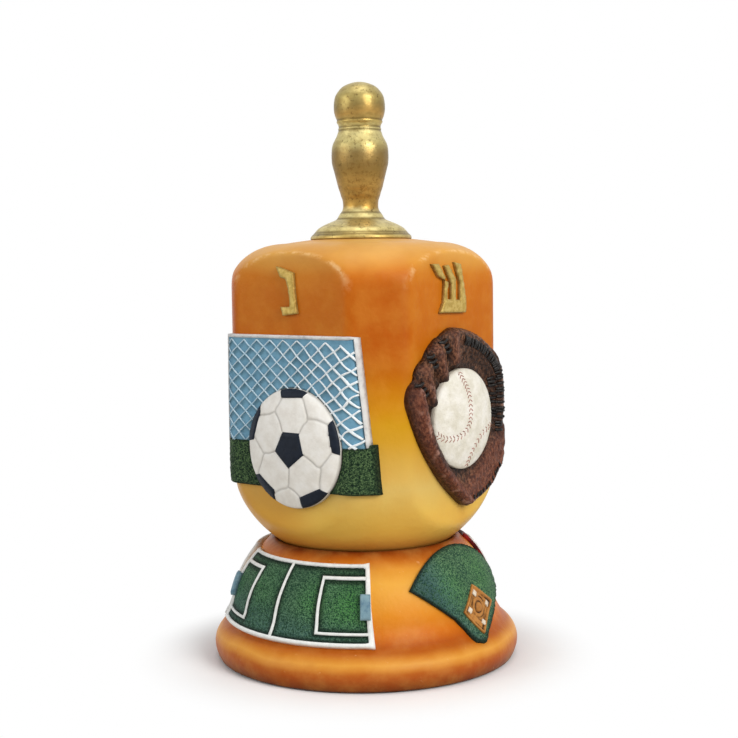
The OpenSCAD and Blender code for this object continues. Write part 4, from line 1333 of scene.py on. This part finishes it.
SEAMS = [
    [(-0.34, 67.0), (-1.06, 65.5), (-1.94, 63.84), (-0.35, 61.7), (0.6, 59.4)],
    [(-1.94, 63.84), (-3.98, 63.0), (-7.5, 62.5)],
    [(5.84, 67.2), (6.53, 66.2), (8.05, 62.47), (6.91, 60.95), (5.9, 59.2)],
    [(8.05, 62.47), (10.46, 62.4), (13.5, 61.4)],
    [(7.18, 54.1), (9.27, 52.8), (11.25, 51.44), (12.97, 53.0), (14.5, 54.9)],
    [(11.25, 51.44), (11.7, 50.87), (11.07, 48.1), (10.9, 46.2)],
    [(2.61, 50.67), (2.41, 48.68), (1.77, 46.17), (-0.8, 45.3), (-3.08, 44.26)],
    [(1.77, 46.17), (3.66, 45.26), (5.1, 43.8)],
    [(-1.55, 54.49), (-3.67, 53.79), (-5.51, 53.48), (-6.66, 51.22), (-8.43, 48.5)],
    [(-5.51, 53.48), (-7.12, 55.17), (-8.9, 57.1)]]
seam_paths = [smooth_through(seam, 4) for seam in SEAMS]


def dome_height(x, y, mid, radius, thick):
    share = min(away(x, y, mid) / radius, 1.0)
    return thick * 0.25 + thick * 0.75 * math.sqrt(max(1 - share ** 2, 0))


def ball_dome(x, y):
    return dome_height(x, y, BALL, BALL_R, BALL_T)


def ball_top(x, y):
    return ball_dome(x, y) - 0.22 * bell(nearest(x, y, *seam_paths), 0.26) + 0.08 * lumps(x, y, 4.0)


# Painted shade along the engraved seams and round the ball's rim.
def ball_seam_shade(x, y):
    return max(0.8 * bell(nearest(x, y, *seam_paths), 0.22), fade(away(x, y, BALL), BALL_R - 0.5, BALL_R))


def uneven_round(amount, seed):
    return lambda a: 1 - amount * (0.5 + 0.5 * lumps(math.cos(a), math.sin(a), 0.6, seed))


ball = disc_relief("match_ball", BALL, BALL_R, front, ball_top, bottom=-0.2, rings=64, spokes=230,
                   marks={"edge": ball_seam_shade}, squeeze=uneven_round(0.012, 2.0))
new_piece(ball, PANEL_WHITE, "dreidel", "ball_white", "soccer_ball")

PENTAGON = [(1.03, 59.18), (-1.55, 54.49), (2.61, 50.67), (7.18, 54.11), (5.89, 59.13)]
RIM_PATCHES = [((-0.34, 67.0), (5.84, 67.3)), ((-9.3, 56.6), (-7.2, 63.3)), ((-2.9, 45.1), (-7.8, 48.5)),
               ((10.7, 46.4), (4.9, 43.9)), ((13.5, 61.3), (14.7, 55.2))]


def rim_patch(first, last):
    """Dark panel between two inner corners and the ball's outline."""
    start, end = [math.atan2(p[1] - BALL.y, p[0] - BALL.x) for p in (last, first)]
    turn = (end - start + math.pi) % (2 * math.pi) - math.pi
    reach = [math.degrees(start + turn * share) for share in (-0.1, 1.1)]
    return [first, last] + arc(BALL, BALL_R * 0.99, BALL_R * 0.99, *reach, 9)


patches = [walk(corners, 1.0, True) for corners in [PENTAGON] + [rim_patch(*ends) for ends in RIM_PATCHES]]
patch_mesh = relief("match_ball_patches", patches, front,
                    lambda x, y: ball_dome(x, y) + 0.28 + 0.07 * lumps(x, y, 1.2),
                    bevel=0.25, step=0.5, bottom=lambda x, y: ball_dome(x, y) - 0.35)
new_piece(patch_mesh, NAVY, "dreidel", "patch_navy", "ball_patches")


# Mitt face

right = on_face(1)
MITT = [
    (2.4, 39.6), (5.6, 40.4), (11.3, 42.6), (14.8, 45.7), (17.4, 48.8), (18.3, 54), (18.5, 61.6), (18.3, 68),
    (17.1, 73.4), (15, 76.5), (9.4, 80.0), (4.6, 81.8), (0.4, 82.6), (-2.4, 82.8), (-5.2, 81.8), (-7.0, 80.8),
    (-8.3, 80.5), (-10.2, 79.2), (-12.0, 77.7), (-13.2, 76.0), (-15.3, 74.6), (-16.5, 73.0), (-16.9, 71.2),
    (-18.2, 69.6), (-18.8, 66.6), (-18.2, 63.4), (-16.4, 58.6), (-12.6, 52.9), (-7.2, 46.8), (-1.6, 42.1)]
HARDBALL, HARDBALL_R, HARDBALL_T = Vector((-0.4, 61.1)), 12.2, 3.6
MITT_T = 1.9
# The thumb's long roll, three fingers and the little one at the lacing: path, half width and lift
ROLL_SHAPES = [
    ([(-16.9, 68.8), (-16.9, 65.6), (-15.6, 61.4), (-13.2, 56.4), (-9.4, 51.0), (-5.2, 46.6), (-0.8, 42.6),
      (1.8, 40.8)], 2.2, 1.3),
    ([(-14.9, 73.4), (-13.4, 70.4), (-11.9, 66.0)], 1.5, 0.9),
    ([(-10.2, 78.0), (-8.6, 75.4), (-7.4, 71.4)], 1.6, 1.0),
    ([(-3.2, 81.4), (-3.4, 78.4), (-3.0, 75.2)], 2.0, 1.1),
    ([(15.9, 60.0), (16.4, 66.0), (15.4, 72.0)], 1.6, 0.9)]
ROLLS = [(smooth_through(path, 5), radius, lift) for path, radius, lift in ROLL_SHAPES]
FINGERS = [path for path, radius, lift in ROLLS[1:4]]
DITCHES = [smooth_through(ditch, 4) for ditch in (
    [(-18.2, 71.6), (-16.2, 69.6), (-14.2, 66.6)],
    [(-13.6, 78.2), (-11.6, 75.6), (-10.2, 71.4)],
    [(-8.2, 81.8), (-6.4, 79.2), (-5.2, 75.6)])]
WEB = smooth_through([(1.5, 76.6), (6, 75.8), (10.4, 73.2), (13.0, 69.2), (14.0, 64.0), (14.2, 60.0)], 5)
HEEL_STITCH = smooth_through([(15.2, 48.2), (13.0, 46.0), (9.8, 43.4), (6.2, 42.0), (3.0, 41.2)], 5)
mitt_rim = smooth_through(MITT, 4, True)
mitt_closed = looped(mitt_rim)


def heel_share(x, y):
    """1 in the heel, low on the right."""
    return fade(x * 0.75 - (y - 50) * 0.9, 3.0, 7.0)


def mitt_top(x, y):
    from_ball = away(x, y, HARDBALL) - HARDBALL_R
    height = MITT_T + 0.9 * fade(from_ball, 1.0, 4.5)
    for path, radius, lift in ROLLS:
        gap = nearest(x, y, path)
        if gap < radius:
            height = max(height, MITT_T + (lift + 0.6) * math.sqrt(1 - (gap / radius) ** 2))
    height = max(height, 1.6 + 1.7 * heel_share(x, y) * fade(from_ball, 0.3, 2.5))
    height -= 1.6 * bell(nearest(x, y, *DITCHES), 0.75)
    height += 0.35 * bell(nearest(x, y, WEB), 1.6) * math.sin(x * 3.1) * math.sin(y * 3.1)
    height *= 0.55 + 0.45 * fade(nearest(x, y, mitt_closed), 0.0, 1.1)
    return max(height, 0.5) + 0.2 * lumps(x, y, 1.7) + 0.16 * lumps(x * 1.3, y * 0.8, 0.75, 4.0)


def mitt_warm(x, y):
    """Redder leather on the thumb's roll, the heel and a little on the fingers."""
    return max(0.95 * fade(nearest(x, y, ROLLS[0][0]), 3.2, 1.2), 0.8 * heel_share(x, y),
               0.45 * fade(nearest(x, y, *FINGERS), 2.2, 0.6))


def mitt_crease_shade(x, y):
    """Painted shade, near black, round the ball, between the fingers, on the web, at the rim and under the
    lacing.
    """
    ball_ring = 0.9 * fade(away(x, y, HARDBALL) - HARDBALL_R, 2.6, 0.2)
    web = 0.75 * fade(nearest(x, y, WEB), 3.4, 1.0) * fade(x + y, 74, 80)
    edge = 0.6 * fade(nearest(x, y, mitt_closed), 0.7, 0.0)
    laced_side = 0.62 * fade(x, 10.0, 13.5) * fade(y, 52, 57)
    return max(ball_ring, bell(nearest(x, y, *DITCHES), 0.9), web, edge, laced_side)


# Painted highlight mask, strongest along the middle of each roll and finger.
def mitt_roll_highlight(x, y):
    return max(bell(nearest(x, y, path), radius * 0.45) for path, radius, lift in ROLLS)


mitt_marks = {"warm": mitt_warm, "crease": mitt_crease_shade, "ridge": mitt_roll_highlight}
glove = relief("glove_leather", [mitt_rim], right, mitt_top, bevel=0.3, step=0.42, marks=mitt_marks)
new_piece(glove, LEATHER, "dreidel", "mitt_brown", "mitt_palm", "mitt_fingers", "mitt_heel", "mitt_webbing")


def crossways(a, b):
    """The way from a to b, and the way to its right."""
    way = (b - a).normalized()
    return way, Vector((way.y, -way.x))


def loops_along(path, count, inner, outer, lift, lean=0.0):
    """Short humped loops across a path, from inner to outer of it."""
    out = []
    last = len(path) - 2
    for i in range(count):
        k = 1 + round(i * (last - 1) / max(count - 1, 1))
        way, side = crossways(path[k - 1], path[k + 1])
        loop = []
        for t in rising(1, 6):
            spot = path[k] + side * (inner - (inner + outer) * t) + way * lean * (t - 0.5)
            height = mitt_top(spot.x, spot.y) if t < 0.75 else 1.6
            loop.append(right(spot.x, spot.y, height + lift * math.sin(math.pi * min(t * 1.25, 1.0)) - 0.05))
        out.append(loop)
    return out


def knots_between(a, b):
    """Three humped knots over the ditch between two fingers."""
    a, b = Vector(a), Vector(b)
    way, side = crossways(a, b)
    knots = []
    for share in (0.15, 0.5, 0.85):
        mid = a.lerp(b, share)
        spots = ((mid - side * 1.3 + way * 0.5, 2.1), (mid - side * 0.5, 2.9), (mid + side * 0.4, 2.9),
                 (mid + side * 1.3 - way * 0.5, 2.1))
        knots.append([right(p.x, p.y, height) for p, height in spots])
    return knots


LACE_EDGE = smooth_through([(1.0, 82.0), (5.4, 80.9), (10.0, 78.9), (14.2, 76.0), (16.6, 72.6), (17.6, 67.4),
                            (17.7, 61.6), (17.5, 56.4)], 8)
lacing = loops_along(LACE_EDGE, 33, 3.3, -0.55, 0.35)
lacing += loops_along(WEB[len(WEB) // 2:], 9, 1.6, 1.2, 0.25, 0.5)
for a, b in (((-17.4, 71.0), (-14.8, 67.4)), ((-13.0, 77.2), (-10.8, 73.8)), ((-8.0, 80.4), (-5.6, 77.0))):
    lacing += knots_between(a, b)
cords("glove_lacing", lacing, LACE_BLACK, "lace_black", "mitt_lacing", radius=0.34, wobble=0.25)
heel_loops = loops_along(HEEL_STITCH, 13, 0.9, 0.3, 0.15, 0.7)
cords("glove_stitching", heel_loops, LACE_BLACK, "lace_black", radius=0.24, wobble=0.25)


def hardball_top(x, y):
    grain = 0.07 * lumps(x, y, 1.5) + 0.05 * lumps(x, y, 0.7, 3.0)
    return 1.5 + dome_height(x, y, HARDBALL, HARDBALL_R, HARDBALL_T) + grain


# Painted shade, strongest at the ball's rim.
def hardball_rim_shade(x, y):
    return fade(away(x, y, HARDBALL), HARDBALL_R - 0.8, HARDBALL_R)


hardball = disc_relief("hardball", HARDBALL, HARDBALL_R, right, hardball_top, bottom=0.8, rings=56,
                       spokes=150, marks={"edge": hardball_rim_shade}, squeeze=uneven_round(0.03, 6.0))
new_piece(hardball, CREAM, "dreidel", "ball_white", "baseball")

STITCH_ONE = smooth_through([(-2.6, 72.6), (-2.2, 70.8), (-1.26, 68.9), (-0.6, 66.8), (-0.4, 64.1),
                             (-0.5, 61.6), (-1.4, 59.4), (-3.9, 57.6), (-7.0, 57.0), (-9.8, 57.3),
                             (-11.6, 58.3)], 5)
STITCH_TWO = smooth_through([(10.6, 58.9), (8.2, 58.2), (5.1, 57.2), (2.85, 55.4), (1.2, 53.4), (0.3, 51.6),
                             (0.0, 50.0)], 4)


def stitches(path, reach):
    """V stitches both sides of a seam on the ball."""
    out = []
    for k in range(1, len(path) - 1, 2):
        way, side = crossways(path[k - 1], path[k + 1])
        for s in SIDES:
            ends = (path[k] + side * s * 0.12, path[k] + side * s * reach + way * 0.55)
            out.append([right(p.x, p.y, hardball_top(p.x, p.y) + 0.02) for p in ends])
    return out


cords("hardball_stitches", stitches(STITCH_ONE, 0.75) + stitches(STITCH_TWO, 0.7), STITCH_RED, "mitt_red",
      radius=0.1, wobble=0.2, sides=6)


# Football face

back = on_face(3)
FOOTBALL, FOOTBALL_TILT = Vector((1.6, 62.5)), math.radians(30)
FOOTBALL_L, FOOTBALL_R, FOOTBALL_T = 21.0, 10.8, 4.0
FOOTBALL_SEAM, STRIPE_SHARE = 5.2, 0.56
FOOTBALL_DEEP = (FOOTBALL_R ** 2 - FOOTBALL_T ** 2) / (2 * FOOTBALL_T)
LONG = Vector((math.cos(FOOTBALL_TILT), math.sin(FOOTBALL_TILT)))
WIDE = Vector((-LONG.y, LONG.x))


def football_half(x):
    return FOOTBALL_R * (1 - (x / FOOTBALL_L) ** 2)


def football_way(x, y):
    """How far a place lies along the football and across it."""
    spot = Vector((x, y)) - FOOTBALL
    return spot.dot(LONG), spot.dot(WIDE)


def football_skin(x, y):
    along, across = football_way(x, y)
    half = max(football_half(min(abs(along), FOOTBALL_L)), 0.0)
    deep = FOOTBALL_DEEP ** 2 + half ** 2 - across ** 2
    return math.sqrt(max(deep, FOOTBALL_DEEP ** 2)) - FOOTBALL_DEEP


def football_top(x, y):
    seam = 0.18 * bell(abs(football_way(x, y)[1]) - FOOTBALL_SEAM, 0.3)
    return football_skin(x, y) + 0.12 - seam + 0.03 * lumps(x, y, 0.8)


oval_rim = []
for turn in rising(2 * math.pi, 88)[:-1]:
    x = FOOTBALL_L * math.cos(turn)
    oval_rim.append(FOOTBALL + LONG * x + WIDE * football_half(x) * (1 if turn < math.pi else -1))
football = relief("game_football", [oval_rim], back, football_top, bevel=0.12, step=0.6, bottom=flat_at(-0.4))
new_piece(football, PIGSKIN, "dreidel", "football_brown", "football")


def on_football(x, y, lift):
    spot = FOOTBALL + LONG * x + WIDE * y
    return back(spot.x, spot.y, football_skin(spot.x, spot.y) + lift)


lace_paths = [[on_football(-6 + i * 1.2, 0, 0.32) for i in range(11)]]
for i in range(6):
    x = -4.75 + 1.9 * i
    lace_paths.append([on_football(x, j * 0.6, 0.2 + 0.25 * math.cos(j * 0.5)) for j in range(-3, 4)])
for x in (-FOOTBALL_L * STRIPE_SHARE, FOOTBALL_L * STRIPE_SHARE):
    half = football_half(x) - 0.4
    for shift in (-0.4, 0.0, 0.4):
        lace_paths.append([on_football(x + shift, across - half, 0.16) for across in rising(2 * half, 16)])
cords("football_stitching", lace_paths, CORD_WHITE, "line_paint", "football_laces", radius=0.36, wobble=0.08)

POST_HALF, POST_TOP, CROSSBAR_Z = 12.5, 83.0, 64.8
STRIP_HALF = 21.2
post_ends = [[(side * POST_HALF, CROSSBAR_Z), (side * POST_HALF, POST_TOP)] for side in SIDES]
post_ends += [[(-POST_HALF, CROSSBAR_Z), (POST_HALF, CROSSBAR_Z)], [(0, GOAL_Z0), (0, CROSSBAR_Z)]]


def beside_football(spot):
    along, across = football_way(*spot)
    return abs(along) >= FOOTBALL_L or abs(across) >= football_half(along) - 0.4


post_runs = []
for ends in post_ends:
    post_runs += stretches(walk(ends, 1.0), beside_football, 2)
posts = ribbon("goal_uprights", post_runs, back, 1.6, top=1.68, uneven=0.04)
new_piece(posts, POST_YELLOW, "dreidel", "post_yellow", "goalpost")
field_strip = walk(box_at(-STRIP_HALF, STRIP_HALF, TURF_Z + 0.1, GOAL_Z0), 1.6, True)
patch_turf = relief("gridiron_patch", [field_strip], back, goal_grass_top, bevel=0.25, step=0.45)
new_piece(patch_turf, STRIP_TURF, "dreidel", "turf_paint", "football_turf")


# Basketball face

rear = on_face(2)
HOOPBALL, HOOPBALL_R, HOOPBALL_T = Vector((-4.4, 54.6)), 12.5, 4.0
HOOP, HOOP_HALF, HOOP_DEEP = Vector((6, 67)), 5.1, 1.45
HOOP_NET_HALF, HOOP_NET_TAPER, HOOP_NET_L = 5.2, 2.0, 8.0
BOARD_X, BOARD_Z0, BOARD_Z1, BOARD_INSET = 13, 66, 83, 0.8
AIM_SQUARE = (1.4, 10.6, 70.0, 77.0)
WOOD_HALF, WOOD_TOP = 23.6, 51.6
RIB_REACH = 12.4
RIB_CURVES = [[(-RIB_REACH, 0), (RIB_REACH, 0)], [(0, -RIB_REACH), (0, RIB_REACH)]]
ribs = [[HOOPBALL + Vector(p) for p in walk(c, 1.0)] for c in RIB_CURVES]
ribs += [arc(HOOPBALL + Vector((side * 9.8, 0)), -side * 5.2, 12.2, -76, 76, 20) for side in SIDES]


def hoopball_top(x, y):
    seam = 0.35 * bell(nearest(x, y, *ribs), 0.4)
    return dome_height(x, y, HOOPBALL, HOOPBALL_R, HOOPBALL_T) - seam + 0.03 * lumps(x, y, 0.9)


hoopball = disc_relief("game_basketball", HOOPBALL, HOOPBALL_R, rear, hoopball_top, bottom=-0.2, rings=52,
                       spokes=150)
new_piece(hoopball, BALL_ORANGE, "dreidel", "basketball_orange", "basketball")
rib_paths = [[rear(p.x, p.y, hoopball_top(p.x, p.y) + 0.08) for p in rib
              if (p - HOOPBALL).length < HOOPBALL_R - 0.2] for rib in ribs]
cords("basketball_ribs", rib_paths, LACE_BLACK, "lace_black", radius=0.28, wobble=0.05)

board_foot = [(x, BOARD_Z0) for x in (-BOARD_X, -9.5, 0.3, BOARD_X)]
board_rim = walk(board_foot + [(BOARD_X, BOARD_Z1), (-BOARD_X, BOARD_Z1)], 1.6, True)
board = relief("backboard_panel", [board_rim], rear, lambda x, y: 1.15 + 0.06 * lumps(x, y, 2.5),
               bevel=0.25, step=0.6)
new_piece(board, BOARD_WHITE, "dreidel", "board_white", "backboard")
square = walk(box_at(*AIM_SQUARE), 1.0, True)
edge_x = BOARD_X - BOARD_INSET
edge_line = walk(box_at(-edge_x, edge_x, BOARD_Z0 + BOARD_INSET, BOARD_Z1 - BOARD_INSET), 1.2, True)
board_lines = ribbon("backboard_lines", [square, edge_line], rear, 0.8, top=1.45, bottom=0.9, closed=True)
new_piece(board_lines, RIM_ORANGE, "dreidel", "rim_orange")
hoop_ring = [rear(p.x, p.y, 1.6) for p in arc(HOOP, HOOP_HALF, HOOP_DEEP, 0, 360, 40)]
cords("hoop_ring", [hoop_ring], RIM_ORANGE, "rim_orange", "hoop_rim", radius=0.42, wobble=0.03, sides=10)


def hoop_strand(i, s):
    """One strand of the hoop's net, which narrows downwards, as far as it hangs clear of the ball."""
    spots = []
    for t in rising(1, 11):
        across = (HOOP_NET_HALF - HOOP_NET_TAPER * t) * min(max(i / 3 + s * t * 0.9, -1), 1)
        spot = HOOP + Vector((across, -0.6 - HOOP_NET_L * t))
        if (spot - HOOPBALL).length > HOOPBALL_R + 0.2:
            spots.append(rear(spot.x, spot.y, 0.75))
    return spots


hoop_strands = [hoop_strand(i, s) for s in SIDES for i in range(-3, 4)]
hoop_strands = [strand for strand in hoop_strands if len(strand) > 2]
cords("hoop_cords", hoop_strands, CORD_WHITE, "line_paint", "hoop_net", radius=0.3, wobble=0.1, sides=7)


def board_grooves(x, y):
    return 1.12 - 0.09 * fade(abs((y / 1.3) % 1 - 0.5), 0.42, 0.5)


wood_rim = walk(box_at(-WOOD_HALF, WOOD_HALF, TURF_Z + 0.1, WOOD_TOP), 1.6, True)
wood = relief("court_patch", [wood_rim], rear, board_grooves, bevel=0.2, step=0.5)
new_piece(wood, WOOD_FLOOR, "dreidel", "court_wood", "court_strip")


# Floor, light and camera

WHITE_FROM, WHITE_AT = 0.0385, 0.06
AIR_GREY = (0.36, 0.36, 0.37, 1)
PLAIN_WHITE = (1, 1, 1, 1)
CAMERA_PLACE = (0.2140, -0.2690, 0.0973)
CAMERA_TURN, CAMERA_PITCH, CAMERA_ROLL = [math.radians(angle) for angle in (38.5, -4.24, 0.76)]
PICTURE_SHIFT = 6.08 / 738
LENS, SENSOR = 66.8, 36
FLOOR_HALF = 2


def make_stage():
    """Pale floor that keeps the shadow near the object and is plain white to the camera farther out."""
    floor = bpy.data.meshes.new("studio_floor")
    corners = [(x, y, 0) for x, y in box_at(-FLOOR_HALF, FLOOR_HALF, -FLOOR_HALF, FLOOR_HALF)]
    floor.from_pydata(corners, [], [(0, 1, 2, 3)])
    card = bpy.data.objects.new("studio_floor", floor)
    bpy.context.collection.objects.link(card)
    p = Paint("studio_paper", 0.9)
    seen = p.seen()
    paper = p.ramp(p.noise(20, 2), [(0.3, "#F6F6F6"), (0.7, "#FAFAFA")])
    p.feed("Base Color", p.mix(seen, "#C0BCB4", paper))
    far = p.node("ShaderNodeVectorMath", {"operation": "LENGTH"}, {0: p.place}, "Value")
    white = p.node("ShaderNodeEmission", None, {"Color": PLAIN_WHITE, "Strength": 1.0})
    white_share = seen * p.band(far, WHITE_FROM, WHITE_AT)
    blend = p.node("ShaderNodeMixShader", None, {0: white_share, 1: Wire(p, p.shader.outputs[0]), 2: white})
    p.tree.links.new(blend.socket, p.tree.nodes["Material Output"].inputs["Surface"])
    floor.materials.append(p.material)


def area_light(name, place, aim, size, power, tone=(1, 1, 1)):
    data = bpy.data.lights.new(name, "AREA")
    data.shape = "DISK"
    data.size = size
    data.energy = power
    data.color = tone
    lamp = bpy.data.objects.new(name, data)
    lamp.location = place
    lamp.rotation_euler = (Vector(aim) - Vector(place)).to_track_quat("-Z", "Y").to_euler()
    bpy.context.collection.objects.link(lamp)


def make_world():
    """Grey air round the object, plain white where the camera sees it."""
    world = bpy.data.worlds.new("studio_air")
    bpy.context.scene.world = world
    world.use_nodes = True
    air = Board(world.node_tree)
    air.tree.nodes.clear()
    soft = air.node("ShaderNodeBackground", None, {"Color": AIR_GREY})
    white = air.node("ShaderNodeBackground", None, {"Color": PLAIN_WHITE})
    mixed = air.node("ShaderNodeMixShader", None, {0: air.seen(), 1: soft, 2: white})
    air.node("ShaderNodeOutputWorld", None, {"Surface": mixed})


def make_camera():
    """Standpoint and direction found from the outlines in the picture."""
    level = Vector((math.cos(CAMERA_TURN), math.sin(CAMERA_TURN), 0))
    flat = math.cos(CAMERA_PITCH)
    ahead = Vector((-level.y * flat, level.x * flat, math.sin(CAMERA_PITCH)))
    up = level.cross(ahead)
    side = level * math.cos(CAMERA_ROLL) - up * math.sin(CAMERA_ROLL)
    up = level * math.sin(CAMERA_ROLL) + up * math.cos(CAMERA_ROLL)
    data = bpy.data.cameras.new("product_camera")
    data.lens = LENS
    data.sensor_width = SENSOR
    data.shift_x = PICTURE_SHIFT
    camera = bpy.data.objects.new("product_camera", data)
    turn = Matrix((side, up, -ahead)).transposed().to_4x4()
    camera.matrix_world = Matrix.Translation(CAMERA_PLACE) @ turn
    bpy.context.collection.objects.link(camera)
    bpy.context.scene.camera = camera


make_stage()
make_world()
make_camera()
bpy.context.scene.view_settings.view_transform = "Standard"
area_light("key_light", (0.62, -0.13, 0.38), (0, 0, 0.07), size=0.4, power=3.5, tone=(1.0, 0.985, 0.96))
area_light("fill_light", (-0.30, -0.55, 0.26), (0, 0, 0.06), size=0.5, power=1.3)
area_light("top_light", (0.05, -0.05, 0.75), (0, 0, 0.05), size=0.5, power=1.2)

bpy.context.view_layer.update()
